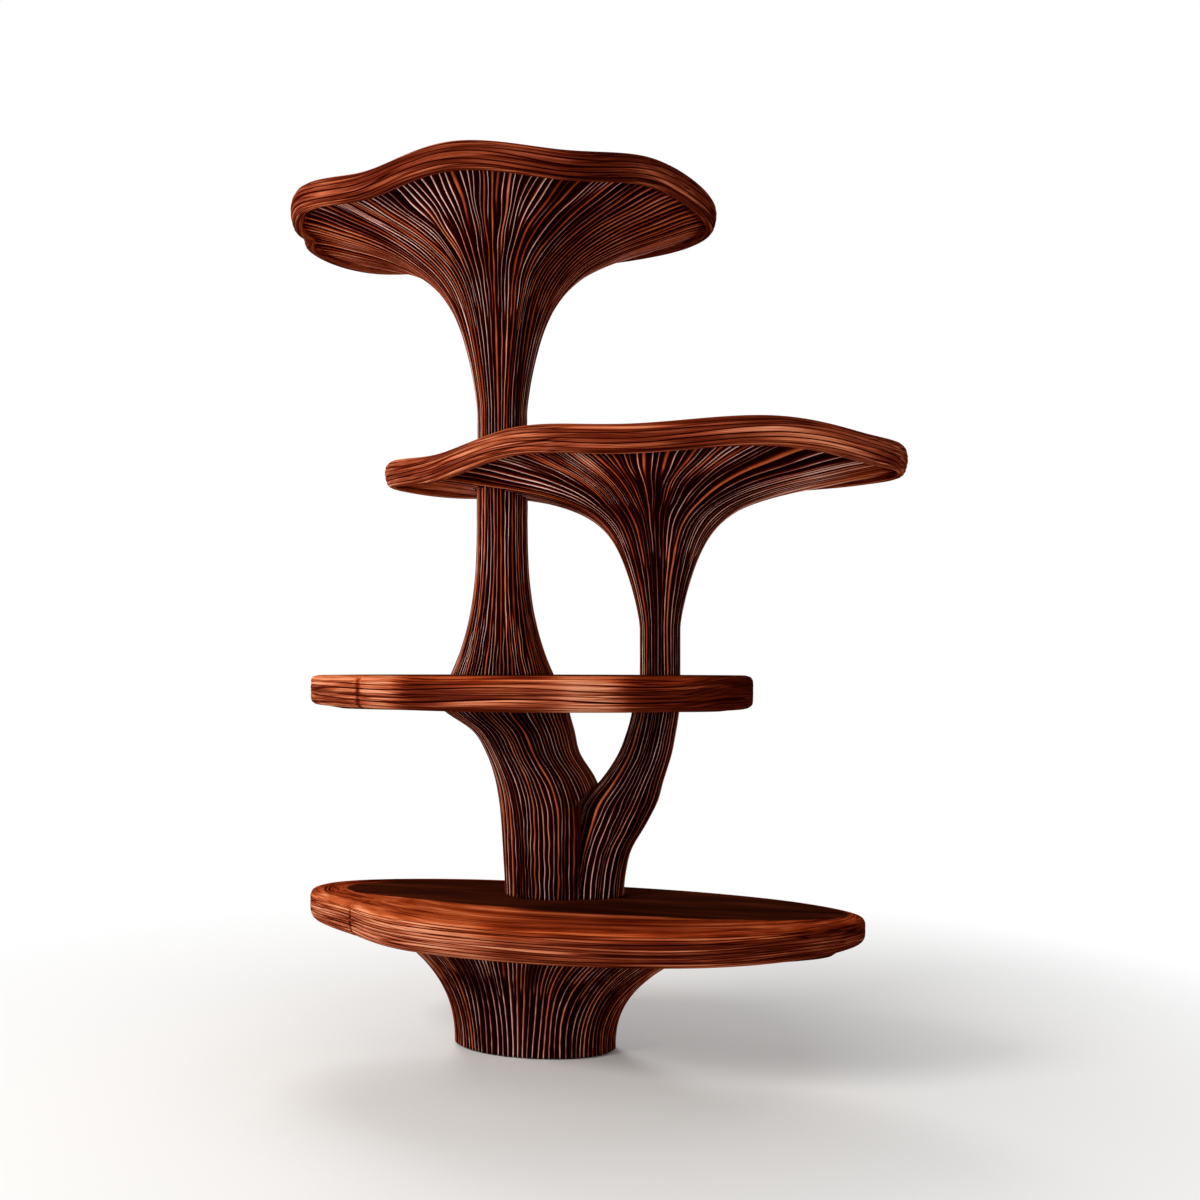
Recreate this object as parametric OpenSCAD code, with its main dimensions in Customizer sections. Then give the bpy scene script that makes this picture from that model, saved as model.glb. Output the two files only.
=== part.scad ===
// Mushroom-shaped bookshelf: ribbed foot, forked trunk, two slab shelves and two
// gilled caps on ribbed stems, held together by three hidden tie rods and dowels.
// Units are millimetres. Z is up, X runs along the shelves, -Y is the front.
// The origin is the middle of the foot, at floor level.

/* [Sole and foot] */
// Felt under the foot
sole_thickness = 3; // [2:0.5:6]
// How far the felt stays inside the edge of the foot
sole_inset = 6; // [3:1:12]
// Foot height, from the felt to the lower shelf
foot_height = 200; // [180:5:220]
// Reach of the foot at the floor, to the left
foot_left = 139; // [130:1:150]
// Reach of the foot at the floor, to the right
foot_right = 147; // [138:1:156]
// Reach of the foot at the floor, to the front
foot_front = 92; // [86:1:100]
// Reach of the foot at the floor, to the back
foot_back = 80; // [74:1:88]
// Extra reach under the lower shelf, left
foot_flare_left = 93; // [80:1:105]
// Extra reach under the lower shelf, right
foot_flare_right = 183; // [165:1:195]
// Extra reach under the lower shelf, front
foot_flare_front = 112; // [95:1:120]
// The back leans in by this much towards the top
foot_back_lean = 14; // [8:1:24]
// How late the foot starts to flare
foot_flare_power = 2.35; // [2:0.05:2.8]
// Ridges around the foot
foot_ridges = 36; // [30:1:38]

/* [Lower shelf] */
// Thickness of the lower slab
lower_thickness = 62; // [54:1:70]
// Centre of the slab
lower_centre = [93, -92];
// Half length and half depth of the slab
lower_half = [477, 202];
// Outline factors, every 30 degrees from the right hand end
lower_lobes = [1.00, .945, .91, .93, 1.09, 1.12, .985, .87, .95, 1.02, 1.01, .97];
// How far the flat underside of a shelf starts inside the lower round
under_flat = 4; // [2:0.5:8]
// Radius worked on the upper edge
lower_top_round = 16; // [10:1:20]
// Radius worked on the lower edge
lower_bottom_round = 22; // [16:1:26]

/* [Trunks] */
// Clear height between lower and middle shelf
lower_bay = 317; // [300:1:340]
// Left edge of the main trunk at nine heights
trunk_left = [-44, -46, -48.5, -51, -55, -62, -75, -100, -158];
// Right edge of the main trunk at nine heights, before the seam is cut
trunk_right = [125, 126, 127, 128, 126, 111, 85, 75, 66];
// Front of the main trunk at its foot
trunk_front = 88; // [82:1:94]
// Back of the main trunk at its foot
trunk_back = 66; // [60:1:70]
// Growth of the front towards the middle shelf
trunk_front_flare = 27; // [15:1:35]
// Growth of the back towards the middle shelf
trunk_back_flare = 12; // [5:1:16]
// Middle of the side trunk at its foot
side_trunk_x = 115; // [111:1:119]
// Half width of the side trunk
side_trunk_half = 48; // [45:0.5:51]
// Half depth of the side trunk
side_trunk_depth = 49; // [45:0.5:52]
// Sweep of the side trunk towards the side stem, as a share
side_trunk_sweep = [0, .03, .105, .24, .397, .62, .81, .925, 1];
// How far the side trunk ends left of the axis of the side stem
side_trunk_short = 7; // [4:1:10]
// How far the side trunk stands to the front at its foot
side_trunk_forward = 12; // [8:1:14]
// Loss of depth of the side trunk on its way up, as a share
side_trunk_taper = 0.18; // [0.1:0.01:0.22]
// Swelling of the side trunk, as a factor
side_trunk_swell = [1, 1.01, 1.06, 1.26, 1.35, 1.11, .96, .875, .833];
// Height above the lower shelf at which the seam between the trunks bends to the fork
seam_bend = 154; // [145:1:160]
// Height of the fork above the lower shelf
fork_height = 190; // [184:1:196]
// Place of the seam at the lower shelf, the bend, the fork and the middle shelf
seam_places = [100, 95, 119, 140];
// Ridges around the main trunk
trunk_ridges = 36; // [30:1:38]
// Ridges around the side trunk
side_trunk_ridges = 22; // [18:1:24]

/* [Middle shelf] */
// Thickness of the middle slab
middle_thickness = 56; // [50:1:62]
// Centre of the slab
middle_centre = [16, -75];
// Half length and half depth of the slab
middle_half = [380, 190];
// Outline factors, every 30 degrees from the right hand end
middle_lobes = [.985, 1.03, .98, .97, 1.0, 1.03, .99, 1.04, 1.0, 1.0, 1.0, 1.10];
// Radius worked on both edges
middle_round = 12; // [8:1:16]

/* [Main stem] */
// Axis of the main stem
main_x = -57; // [-60:1:-54]
// Radius of the stem at the middle shelf
main_base_radius = 90; // [84:1:94]
// Radius at the neck
main_neck_radius = 44.5; // [42:0.5:47]
// How far below the side cap lip the stem reaches its neck
neck_below_lip = 60; // [50:1:70]
// How quickly the base thins out
main_base_power = 2.8; // [2.4:0.1:3.2]
// Ridges around the main stem
main_ridges = 34; // [28:1:36]

/* [Side cap] */
// Height of the cap lip above the middle shelf
side_cap_rise = 337; // [325:1:350]
// Axis of the side stem
side_x = 224; // [220:1:228]
// Radius of the side stem
side_neck_radius = 34.5; // [33:0.5:37]
// Height above the middle shelf at which the stem starts to open
side_bell_start = 77; // [65:1:90]
// Round opening of the trumpet
side_bell_flare = 95; // [85:1:105]
// How late the trumpet turns out to the rim
side_bell_power = 7.5; // [6.5:0.1:8.5]
// Centre of the cap
side_cap_centre = [212, 29];
// Half length and half depth of the cap
side_cap_half = [449, 194];
// Outline factors of the rim
side_cap_lobes = [.931, .981, 1.0, 1.0, 1.004, 1.045, 1.118, .972, .918, .985, 1.015, .974];
// Rise and fall of the rim
side_cap_wave = [-8.4, -9.5, -10.4, -5.3, -5, -11.4, -1.4, -5.4, 24.6, 14, 19.5, -5.7];
// Height of the flat top above the lip
side_cap_top = 35; // [30:1:38]
// How far the main stem is let in, below the flat top
side_cap_socket_web = 30; // [25:1:34]

/* [Top cap] */
// Height of the top cap lip above the side cap lip
top_cap_rise = 440; // [425:1:455]
// Radius of the upper stem
upper_neck_radius = 43.5; // [41:0.5:46]
// Height above the side cap lip at which the stem starts to open
top_bell_start = 115; // [100:1:130]
// Round opening of the trumpet
top_bell_flare = 90; // [80:1:100]
// How late the trumpet turns out to the rim
top_bell_power = 6; // [5.5:0.1:6.8]
// Centre of the cap
top_cap_centre = [-58, 14];
// Half length and half depth of the cap
top_cap_half = [369, 262];
// Outline factors of the rim
top_cap_lobes = [1.002, 1.023, 1.013, .998, .999, 1.015, 1.037, 1.041, .939, .978, .983, .949];
// Rise and fall of the rim
top_cap_wave = [-15, -10.5, -.9, 5.2, 3.9, -13.9, -8.2, 14.5, 1.5, 17.3, -2.5, 7.4];
// Height of the flat top above the lip
top_cap_top = 30; // [26:1:34]

/* [Rims and gills] */
// Height of the rim band of both caps
rim_band = 50; // [44:1:56]
// Height of the gills behind the lip
gill_recess = 5; // [3:0.5:8]
// How evenly the trumpets open, as a power
bell_opening = 1.45; // [1.3:0.05:1.6]
// Width of the lip
lip_width = 20; // [16:1:24]
// Share of the trumpet that belongs to the stem piece
split_share = 0.76; // [0.72:0.01:0.8]
// Ridges around the side stem and its cap
side_gills = 44; // [36:1:46]
// Ridges around the upper stem and the top cap
top_gills = 33; // [30:1:40]
// How far the rim band lies inside the outline, from the lip up
rim_insets = [12, 3, 0, 8, 22];
// Where the top starts to level out, and where it is level, inside the outline
dish_insets = [40, 62];
// Depth of the grooves on stems and trunks
groove = 2.5; // [1.5:0.1:3.5]
// Depth of the grooves at the rim
gill_groove = 4; // [3:0.1:5]

/* [Tie rods] */
// Rod radius
rod_radius = 6; // [5:0.5:6]
// Bore radius in the wood
rod_bore_radius = 7; // [6.5:0.25:8]
// Place of the base rod, left of the main trunk seam
base_rod_x = 10; // [6:1:14]
// Nut width across flats
nut_flats = 18; // [17:0.5:19]
// Nut height
nut_height = 10.8; // [9:0.1:12]
// Washer radius
washer_radius = 14; // [13:0.5:14.5]
// Washer thickness
washer_thickness = 2.5; // [2:0.1:3]
// Counterbore radius for nut and washer
counterbore_radius = 15; // [14.7:0.1:16]
// Rod end beyond the nut
rod_end = 3.5; // [2:0.5:4]
// Counterbore depth in the foot
foot_counterbore = 25; // [22:1:30]
// Counterbore depth in the middle shelf, from above and below
middle_counterbore = 20; // [19:0.5:22]
// Depth of the nut pocket below the plug
cap_counterbore = 22; // [19:0.5:25]
// Radius of the wooden plugs
plug_radius = 18; // [17.5:0.5:20]
// Thickness of the wooden plugs
plug_thickness = 8; // [6:0.5:10]

/* [Dowels and screw] */
// Radius of the large dowels
big_dowel_radius = 6; // [5:0.5:6.5]
// Length of the large dowels
big_dowel_length = 56; // [50:1:60]
// Radius of the medium dowels
dowel_radius = 5; // [4:0.5:5.5]
// Length of the medium dowels
dowel_length = 40; // [34:1:42]
// Radius of the small dowels
small_dowel_radius = 4; // [3:0.5:4.5]
// Length of the small dowels
small_dowel_length = 32; // [26:1:34]
// Height of the lower seam dowel above the lower shelf
seam_dowel_low = 95; // [80:1:105]
// Height of the upper seam dowel above the lower shelf
seam_dowel_high = 150; // [135:1:160]
// From the axis of the main stem to the dowel under it
main_stem_dowel_reach = 48; // [40:1:56]
// From the axis of the main stem to the dowels at its neck and on the side cap
neck_dowel_reach = 26; // [24:1:28]
// From the axis of the side stem to the dowel under it
side_stem_dowel_reach = 20; // [18:1:22]
// From the axis of the main stem to the dowel on the main trunk, to the left
trunk_top_dowel_reach = 40; // [34:1:46]
// From the axis of the side stem to the dowel on the side trunk, to the left
side_top_dowel_reach = 31; // [29:1:33]
// From the stem axes to the dowels between stem and cap
cap_dowel_reach = 68; // [60:1:74]
// Place of the screw under the side trunk
screw_x = 131; // [129:1:133]
// Radius of the screw shank
screw_radius = 4; // [3:0.5:4.5]
// Length of the screw below its head
screw_length = 100; // [85:1:110]
// Screw head width across flats
screw_head_flats = 13; // [12:0.5:14]
// Screw head height
screw_head_height = 5.5; // [4.5:0.1:6]
// Screw washer radius
screw_washer_radius = 10; // [9:0.5:10.5]
// Screw washer thickness
screw_washer_thickness = 2; // [1.5:0.1:2.5]
// Counterbore radius for the screw
screw_counterbore_radius = 11; // [10.8:0.1:12]
// Counterbore depth for the screw
screw_counterbore = 10; // [9:0.5:12]

/* [Clearances] */
// Gap around dowels, plugs, rods in nuts and the socketed stem
fit = 0.15; // [0.1:0.05:0.3]
// Gap across the seam between the trunks
seam_gap = 0.3; // [0.2:0.05:0.5]

/* [Hidden] */
$fn = 48;

// levels, from the floor up
foot_z = sole_thickness;
lower_z = foot_z + foot_height;
lower_top_z = lower_z + lower_thickness;
middle_z = lower_top_z + lower_bay;
middle_top_z = middle_z + middle_thickness;
side_lip_z = middle_top_z + side_cap_rise;
side_top_z = side_lip_z + side_cap_top;
socket_z = side_top_z - side_cap_socket_web;
top_lip_z = side_lip_z + top_cap_rise;
top_top_z = top_lip_z + top_cap_top;
side_bell_z = middle_top_z + side_bell_start;
top_bell_z = side_lip_z + top_bell_start;
side_split_z = side_bell_z + (side_lip_z + gill_recess - side_bell_z) * split_share;
top_split_z = top_bell_z + (top_lip_z + gill_recess - top_bell_z) * split_share;

// the bent seam between the trunks: heights above the lower shelf, and places along X
seam_overrun = 10;
seam = [[-seam_overrun, seam_places[0]], [0, seam_places[0]], [seam_bend, seam_places[1]],
    [fork_height, seam_places[2]], [lower_bay, seam_places[3]],
    [lower_bay + seam_overrun, seam_places[3]]];

// places of dowels and screw
mid_in = dowel_length / 2;
foot_dowel_at = [[-70, -20], [85, -44]];
trunk_dowel_at = [[-20, -12], [70, -12]];
side_trunk_dowel_at = [screw_x, -40];
trunk_top_dowel_at = [main_x - trunk_top_dowel_reach, -20];
side_top_dowel_at = [side_x - side_top_dowel_reach, 0];
main_stem_dowel_at = [main_x - main_stem_dowel_reach, 0];
side_stem_dowel_at = [side_x - side_stem_dowel_reach, 0];
main_cap_dowel_at = [main_x - neck_dowel_reach, 0];
upper_dowel_at = [main_x + neck_dowel_reach, 0];
seam_dowel_heights = [seam_dowel_low, seam_dowel_high];
seam_dowel_y = -12;
screw_y = -8;

// smooth curves through evenly spaced values
function blend(a, b, c, d, t) = 0.5 * (2*b + (c - a)*t + (2*a - 5*b + 4*c - d)*t*t
    + (3*b - a - 3*c + d)*t*t*t);
function around(v, turn) =
    let (n = len(v), s = (turn - floor(turn)) * n, i = floor(s))
    blend(v[(i + n - 1) % n], v[i % n], v[(i + 1) % n], v[(i + 2) % n], s - i);
function along(v, share) =
    let (n = len(v) - 1, s = min(max(share, 0), 1) * n, i = min(floor(s), n - 1))
    blend(v[max(i - 1, 0)], v[i], v[i + 1], v[min(i + 2, n)], s - i);

// a point on a lobed outline, some way in from its edge
function edge(centre, half, lobes, turn, inset) = let (k = around(lobes, turn))
    [centre[0] + (half[0] - inset) * k * cos(360 * turn),
     centre[1] + (half[1] - inset) * k * sin(360 * turn)];

// a level oval ring between four reaches, with grooves
function oval(left, right, front, back, z, ridges, deep) =
    let (cx = (left + right) / 2, cy = (front + back) / 2,
         hx = (right - left) / 2, hy = (back - front) / 2)
    [for (i = [0 : 2 * ridges - 1]) let (g = (i % 2) * deep, a = 180 * i / ridges)
        [cx + (hx - g) * cos(a), cy + (hy - g) * sin(a), z]];

// a closed body skinned over rings of equal count, bottom ring first
module skin(rings) {
    n = len(rings[0]);
    m = len(rings);
    polyhedron(points = [for (r = rings) each r], convexity = 10,
        faces = concat([[for (i = [0 : n - 1]) i]],
            [for (j = [0 : m - 2], i = [0 : n - 1]) let (a = j * n + i,
                b = j * n + (i + 1) % n, c = b + n, d = a + n) each [[a, d, c], [a, c, b]]],
            [[for (i = [n - 1 : -1 : 0]) (m - 1) * n + i]]));
}

// a slab with a lobed outline and worked edges
module slab(centre, half, lobes, z, thick, top_round, bottom_round, steps = 72) {
    rows = [[bottom_round + under_flat, 0], [bottom_round * .32, bottom_round * .28],
        [0, bottom_round], [0, thick - top_round],
        [top_round * .3, thick - top_round * .3], [top_round, thick]];
    skin([for (r = rows) [for (i = [0 : steps - 1])
        let (p = edge(centre, half, lobes, i / steps, r[0])) [p[0], p[1], z + r[1]]]]);
}

// one ring of a trumpet: round on the stem, reaching the lobed rim at u = 1
function trumpet_ring(gills, x, neck, flare, power, start_z, split_z, edge_z, centre, half, lobes,
    wave, u) = [for (i = [0 : 2 * gills - 1])
        let (turn = i / (2 * gills), odd = i % 2,
            out = max(0, (u - split_share) / (1 - split_share)),
            r = neck + flare * pow(u, bell_opening),
            b = [x + r * cos(360 * turn), r * sin(360 * turn)],
            e = edge(centre, half, lobes, turn, lip_width),
            p = b + pow(u, power) * (e - b),
            g = odd * (groove + (gill_groove - groove) * out),
            q = p - [x, 0], f = 1 - g * (1 - out) / norm(q),
            z = u <= split_share ? start_z + (split_z - start_z) * u / split_share
                : split_z + (edge_z + around(wave, turn) - split_z) * out)
        [x + q[0] * f, q[1] * f, z + g * out]];

// the stem part of a mushroom, up to the flat seat of its cap
module trumpet_stem(gills, x, neck, flare, power, base_z, start_z, split_z, edge_z, centre, half,
    lobes, wave) {
    base = [for (i = [0 : 2 * gills - 1]) let (r = neck - (i % 2) * groove, a = 180 * i / gills)
        [x + r * cos(a), r * sin(a), base_z]];
    skin(concat([base], [for (s = [0, .24, .46, .64, .78, .9, 1])
        trumpet_ring(gills, x, neck, flare, power, start_z, split_z, edge_z, centre, half,
            lobes, wave, s * split_share)]));
}

// the cap part: flat seat, outer gills, lip, wavy rim band and flat top
module cap(gills, x, neck, flare, power, start_z, split_z, lip_z, top_z, centre, half,
    lobes, wave) {
    heights = [0, .2, .5, .84, .98] * rim_band;
    falls = [.55, 1];
    dish = lip_z + heights[4];
    skin(concat(
        [for (s = [0, .25, .46, .63, .78, .9, 1])
            trumpet_ring(gills, x, neck, flare, power, start_z, split_z,
                lip_z + gill_recess, centre, half, lobes, wave,
                split_share + (1 - split_share) * s)],
        [for (k = [0 : 4]) [for (i = [0 : 2 * gills - 1])
            let (t = i / (2 * gills), p = edge(centre, half, lobes, t, rim_insets[k]))
            [p[0], p[1], lip_z + heights[k] + around(wave, t)]]],
        [for (k = [0, 1]) [for (i = [0 : 2 * gills - 1])
            let (t = i / (2 * gills), p = edge(centre, half, lobes, t, dish_insets[k]))
            [p[0], p[1], (dish + around(wave, t)) * (1 - falls[k]) + top_z * falls[k]]]]));
}

// a straight bore between two heights
module bore(at, z0, z1, r) { translate([at[0], at[1], z0]) cylinder(r = r, h = z1 - z0); }
// a dowel centred on a joint plane, and the hole for it
module dowel(at, z, r, length) {
    translate([at[0], at[1], z - length / 2]) cylinder(r = r, h = length);
}
module dowel_hole(at, z, r, length) {
    translate([at[0], at[1], z - length / 2 - fit]) cylinder(r = r + fit, h = length + 2*fit);
}
// a hexagon nut with its bore
module nut(at, z) {
    translate([at[0], at[1], z]) difference() {
        cylinder(r = nut_flats / sqrt(3), h = nut_height, $fn = 6);
        translate([0, 0, -1]) cylinder(r = rod_radius + fit, h = nut_height + 2);
    }
}
module washer(at, z) {
    translate([at[0], at[1], z]) difference() {
        cylinder(r = washer_radius, h = washer_thickness);
        translate([0, 0, -1]) cylinder(r = rod_radius + fit, h = washer_thickness + 2);
    }
}
// everything on one side of the seam between the trunks
module beside_seam(side, gap) {
    far = side * 2 * lower_half[0];
    translate([0, lower_half[0], lower_top_z]) rotate([90, 0, 0])
        linear_extrude(2 * lower_half[0]) polygon(concat(
            [for (p = seam) [p[1] + side * gap, p[0]]],
            [[far, lower_bay + seam_overrun], [far, -seam_overrun]]));
}
module seam_dowel(height, grow) {
    translate([lookup(height, seam) - mid_in - grow, seam_dowel_y, lower_top_z + height])
        rotate([0, 90, 0]) cylinder(r = dowel_radius + grow, h = dowel_length + 2 * grow);
}

module felt_sole() color([.16, .15, .14])
    translate([(foot_right - foot_left) / 2, (foot_back - foot_front) / 2, 0])
        linear_extrude(sole_thickness) polygon([for (i = [0 : 71])
            [((foot_left + foot_right) / 2 - sole_inset) * cos(5 * i),
             ((foot_front + foot_back) / 2 - sole_inset) * sin(5 * i)]]);

module foot() color([.50, .24, .15]) difference() {
    skin([for (t = [0, .2, .4, .58, .74, .88, 1]) let (f = pow(t, foot_flare_power))
        oval(-foot_left - foot_flare_left * f, foot_right + foot_flare_right * f,
            -foot_front - foot_flare_front * f, foot_back - foot_back_lean * t,
            foot_z + foot_height * t, foot_ridges, groove + 1)]);
    bore([base_rod_x, 0], foot_z - 1, lower_z + 1, rod_bore_radius);
    bore([base_rod_x, 0], foot_z - 1, foot_z + foot_counterbore, counterbore_radius);
    for (p = foot_dowel_at) dowel_hole(p, lower_z, big_dowel_radius, big_dowel_length);
}

module lower_shelf() color([.42, .19, .12]) difference() {
    slab(lower_centre, lower_half, lower_lobes, lower_z, lower_thickness,
        lower_top_round, lower_bottom_round);
    bore([base_rod_x, 0], lower_z - 1, lower_top_z + 1, rod_bore_radius);
    for (p = foot_dowel_at) dowel_hole(p, lower_z, big_dowel_radius, big_dowel_length);
    for (p = trunk_dowel_at) dowel_hole(p, lower_top_z, big_dowel_radius, big_dowel_length);
    dowel_hole(side_trunk_dowel_at, lower_top_z, dowel_radius, dowel_length);
    bore([screw_x, screw_y], lower_z - 1, lower_top_z + 1, screw_radius + fit);
    bore([screw_x, screw_y], lower_z - 1, lower_z + screw_counterbore,
        screw_counterbore_radius);
}

module main_trunk() color([.50, .24, .15]) difference() {
    skin([for (t = [0, .25, .44, .54, .63, .73, .84, .93, 1]) oval(along(trunk_left, t),
        along(trunk_right, t), -trunk_front - trunk_front_flare * pow(t, 3),
        trunk_back + trunk_back_flare * pow(t, 3), lower_top_z + lower_bay * t,
        trunk_ridges, groove)]);
    beside_seam(1, seam_gap / 2);
    bore([base_rod_x, 0], lower_top_z - 1, middle_z + 1, rod_bore_radius);
    for (p = trunk_dowel_at) dowel_hole(p, lower_top_z, big_dowel_radius, big_dowel_length);
    dowel_hole(trunk_top_dowel_at, middle_z, dowel_radius, dowel_length);
    for (h = seam_dowel_heights) seam_dowel(h, fit);
}

module side_trunk() color([.52, .25, .15]) difference() {
    skin([for (t = [0, .14, .26, .36, .47, .58, .70, .84, 1]) let (
        c = side_trunk_x + (side_x - side_trunk_short - side_trunk_x)
            * along(side_trunk_sweep, t),
        h = side_trunk_half * along(side_trunk_swell, t),
        d = side_trunk_depth * (1 - side_trunk_taper * t), y = -side_trunk_forward * (1 - t))
        oval(c - h, c + h, y - d, y + d, lower_top_z + lower_bay * t, side_trunk_ridges,
            groove)]);
    beside_seam(-1, seam_gap / 2);
    dowel_hole(side_trunk_dowel_at, lower_top_z, dowel_radius, dowel_length);
    bore([screw_x, screw_y], lower_top_z - 1,
        lower_z + screw_counterbore + screw_length + fit, screw_radius + fit);
    dowel_hole(side_top_dowel_at, middle_z, small_dowel_radius, small_dowel_length);
    for (h = seam_dowel_heights) seam_dowel(h, fit);
}

module middle_shelf() color([.48, .23, .14]) difference() {
    slab(middle_centre, middle_half, middle_lobes, middle_z, middle_thickness,
        middle_round, middle_round);
    for (x = [base_rod_x, main_x, side_x])
        bore([x, 0], middle_z - 1, middle_top_z + 1, rod_bore_radius);
    bore([base_rod_x, 0], middle_top_z - middle_counterbore, middle_top_z + 1,
        counterbore_radius);
    for (x = [main_x, side_x])
        bore([x, 0], middle_z - 1, middle_z + middle_counterbore, counterbore_radius);
    dowel_hole(trunk_top_dowel_at, middle_z, dowel_radius, dowel_length);
    dowel_hole(side_top_dowel_at, middle_z, small_dowel_radius, small_dowel_length);
    dowel_hole(main_stem_dowel_at, middle_top_z, dowel_radius, dowel_length);
    dowel_hole(side_stem_dowel_at, middle_top_z, small_dowel_radius, small_dowel_length);
}

module main_stem() color([.52, .25, .15]) difference() {
    skin([for (t = [0, .14, .3, .48, .7, 1, 2]) let (
        r = main_neck_radius + (t < 1 ? (main_base_radius - main_neck_radius)
            * pow(1 - t, main_base_power) : 0),
        z = t > 1 ? socket_z : middle_top_z + (side_cap_rise - neck_below_lip) * t)
        oval(main_x - r, main_x + r, -r, r, z, main_ridges, groove)]);
    bore([main_x, 0], middle_top_z - 1, socket_z + 1, rod_bore_radius);
    dowel_hole(main_stem_dowel_at, middle_top_z, dowel_radius, dowel_length);
    dowel_hole(main_cap_dowel_at, socket_z, small_dowel_radius, small_dowel_length);
}

module side_stem() color([.52, .25, .15]) difference() {
    trumpet_stem(side_gills, side_x, side_neck_radius, side_bell_flare, side_bell_power,
        middle_top_z, side_bell_z, side_split_z, side_lip_z + gill_recess,
        side_cap_centre, side_cap_half, side_cap_lobes, side_cap_wave);
    bore([side_x, 0], middle_top_z - 1, side_split_z + 1, rod_bore_radius);
    dowel_hole(side_stem_dowel_at, middle_top_z, small_dowel_radius, small_dowel_length);
    for (s = [-1, 1])
        dowel_hole([side_x + s * cap_dowel_reach, 0], side_split_z, dowel_radius, dowel_length);
}

module side_cap() color([.48, .23, .14]) difference() {
    cap(side_gills, side_x, side_neck_radius, side_bell_flare, side_bell_power, side_bell_z,
        side_split_z, side_lip_z, side_top_z, side_cap_centre, side_cap_half,
        side_cap_lobes, side_cap_wave);
    bore([main_x, 0], side_split_z - rim_band, socket_z, main_neck_radius + fit);
    bore([main_x, 0], side_split_z - rim_band, side_top_z + 1, rod_bore_radius);
    dowel_hole(main_cap_dowel_at, socket_z, small_dowel_radius, small_dowel_length);
    dowel_hole(upper_dowel_at, side_top_z, small_dowel_radius, small_dowel_length);
    bore([side_x, 0], side_split_z - 1, side_top_z + 1, rod_bore_radius);
    bore([side_x, 0], side_top_z - plug_thickness - cap_counterbore, side_top_z + 1,
        counterbore_radius);
    bore([side_x, 0], side_top_z - plug_thickness, side_top_z + 1, plug_radius + fit);
    for (s = [-1, 1])
        dowel_hole([side_x + s * cap_dowel_reach, 0], side_split_z, dowel_radius, dowel_length);
}

module upper_stem() color([.52, .25, .15]) difference() {
    trumpet_stem(top_gills, main_x, upper_neck_radius, top_bell_flare, top_bell_power, side_top_z,
        top_bell_z, top_split_z, top_lip_z + gill_recess, top_cap_centre, top_cap_half,
        top_cap_lobes, top_cap_wave);
    bore([main_x, 0], side_top_z - 1, top_split_z + 1, rod_bore_radius);
    dowel_hole(upper_dowel_at, side_top_z, small_dowel_radius, small_dowel_length);
    for (s = [-1, 1])
        dowel_hole([main_x + s * cap_dowel_reach, 0], top_split_z, dowel_radius, dowel_length);
}

module top_cap() color([.48, .23, .14]) difference() {
    cap(top_gills, main_x, upper_neck_radius, top_bell_flare, top_bell_power, top_bell_z,
        top_split_z, top_lip_z, top_top_z, top_cap_centre, top_cap_half,
        top_cap_lobes, top_cap_wave);
    bore([main_x, 0], top_split_z - 1, top_top_z + 1, rod_bore_radius);
    bore([main_x, 0], top_top_z - plug_thickness - cap_counterbore, top_top_z + 1,
        counterbore_radius);
    bore([main_x, 0], top_top_z - plug_thickness, top_top_z + 1, plug_radius + fit);
    for (s = [-1, 1])
        dowel_hole([main_x + s * cap_dowel_reach, 0], top_split_z, dowel_radius, dowel_length);
}

// nuts sit hard against their washers, washers against the counterbore floors
foot_washer_z = foot_z + foot_counterbore - washer_thickness;
shelf_washer_z = middle_top_z - middle_counterbore;
under_washer_z = middle_z + middle_counterbore - washer_thickness;
top_washer_z = top_top_z - plug_thickness - cap_counterbore;
side_washer_z = side_top_z - plug_thickness - cap_counterbore;

// where each rod is tightened: place of the washer, and the side its nut is on
rod_ends = [[base_rod_x, foot_washer_z, -1], [base_rod_x, shelf_washer_z, 1],
    [main_x, under_washer_z, -1], [main_x, top_washer_z, 1],
    [side_x, under_washer_z, -1], [side_x, side_washer_z, 1]];
rod_past_low = nut_height + rod_end;
rod_past_high = washer_thickness + nut_height + rod_end;

module steel() color([.62, .63, .65]) children();
module rod(low, high) steel() translate([low[0], 0, low[1] - rod_past_low])
    cylinder(r = rod_radius, h = high[1] - low[1] + rod_past_low + rod_past_high);
module base_rod() rod(rod_ends[0], rod_ends[1]);
module main_rod() rod(rod_ends[2], rod_ends[3]);
module side_rod() rod(rod_ends[4], rod_ends[5]);
module rod_nuts() steel() for (e = rod_ends)
    nut([e[0], 0], e[2] < 0 ? e[1] - nut_height : e[1] + washer_thickness);
module rod_washers() steel() for (e = rod_ends) washer([e[0], 0], e[1]);

module plug(at, z) color([.44, .20, .12]) translate([at[0], at[1], z - plug_thickness])
    cylinder(r = plug_radius, h = plug_thickness);
module side_cap_plug() plug([side_x, 0], side_top_z);
module top_cap_plug() plug([main_x, 0], top_top_z);

module side_trunk_screw() steel() {
    z = lower_z + screw_counterbore;
    translate([screw_x, screw_y, z - screw_washer_thickness])
        cylinder(r = screw_radius, h = screw_length + screw_washer_thickness);
    translate([screw_x, screw_y, z - screw_washer_thickness - screw_head_height])
        cylinder(r = screw_head_flats / sqrt(3), h = screw_head_height, $fn = 6);
}
module side_trunk_screw_washer() steel()
    translate([screw_x, screw_y, lower_z + screw_counterbore - screw_washer_thickness])
    difference() {
        cylinder(r = screw_washer_radius, h = screw_washer_thickness);
        translate([0, 0, -1]) cylinder(r = screw_radius + fit, h = screw_washer_thickness + 2);
    }

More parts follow.
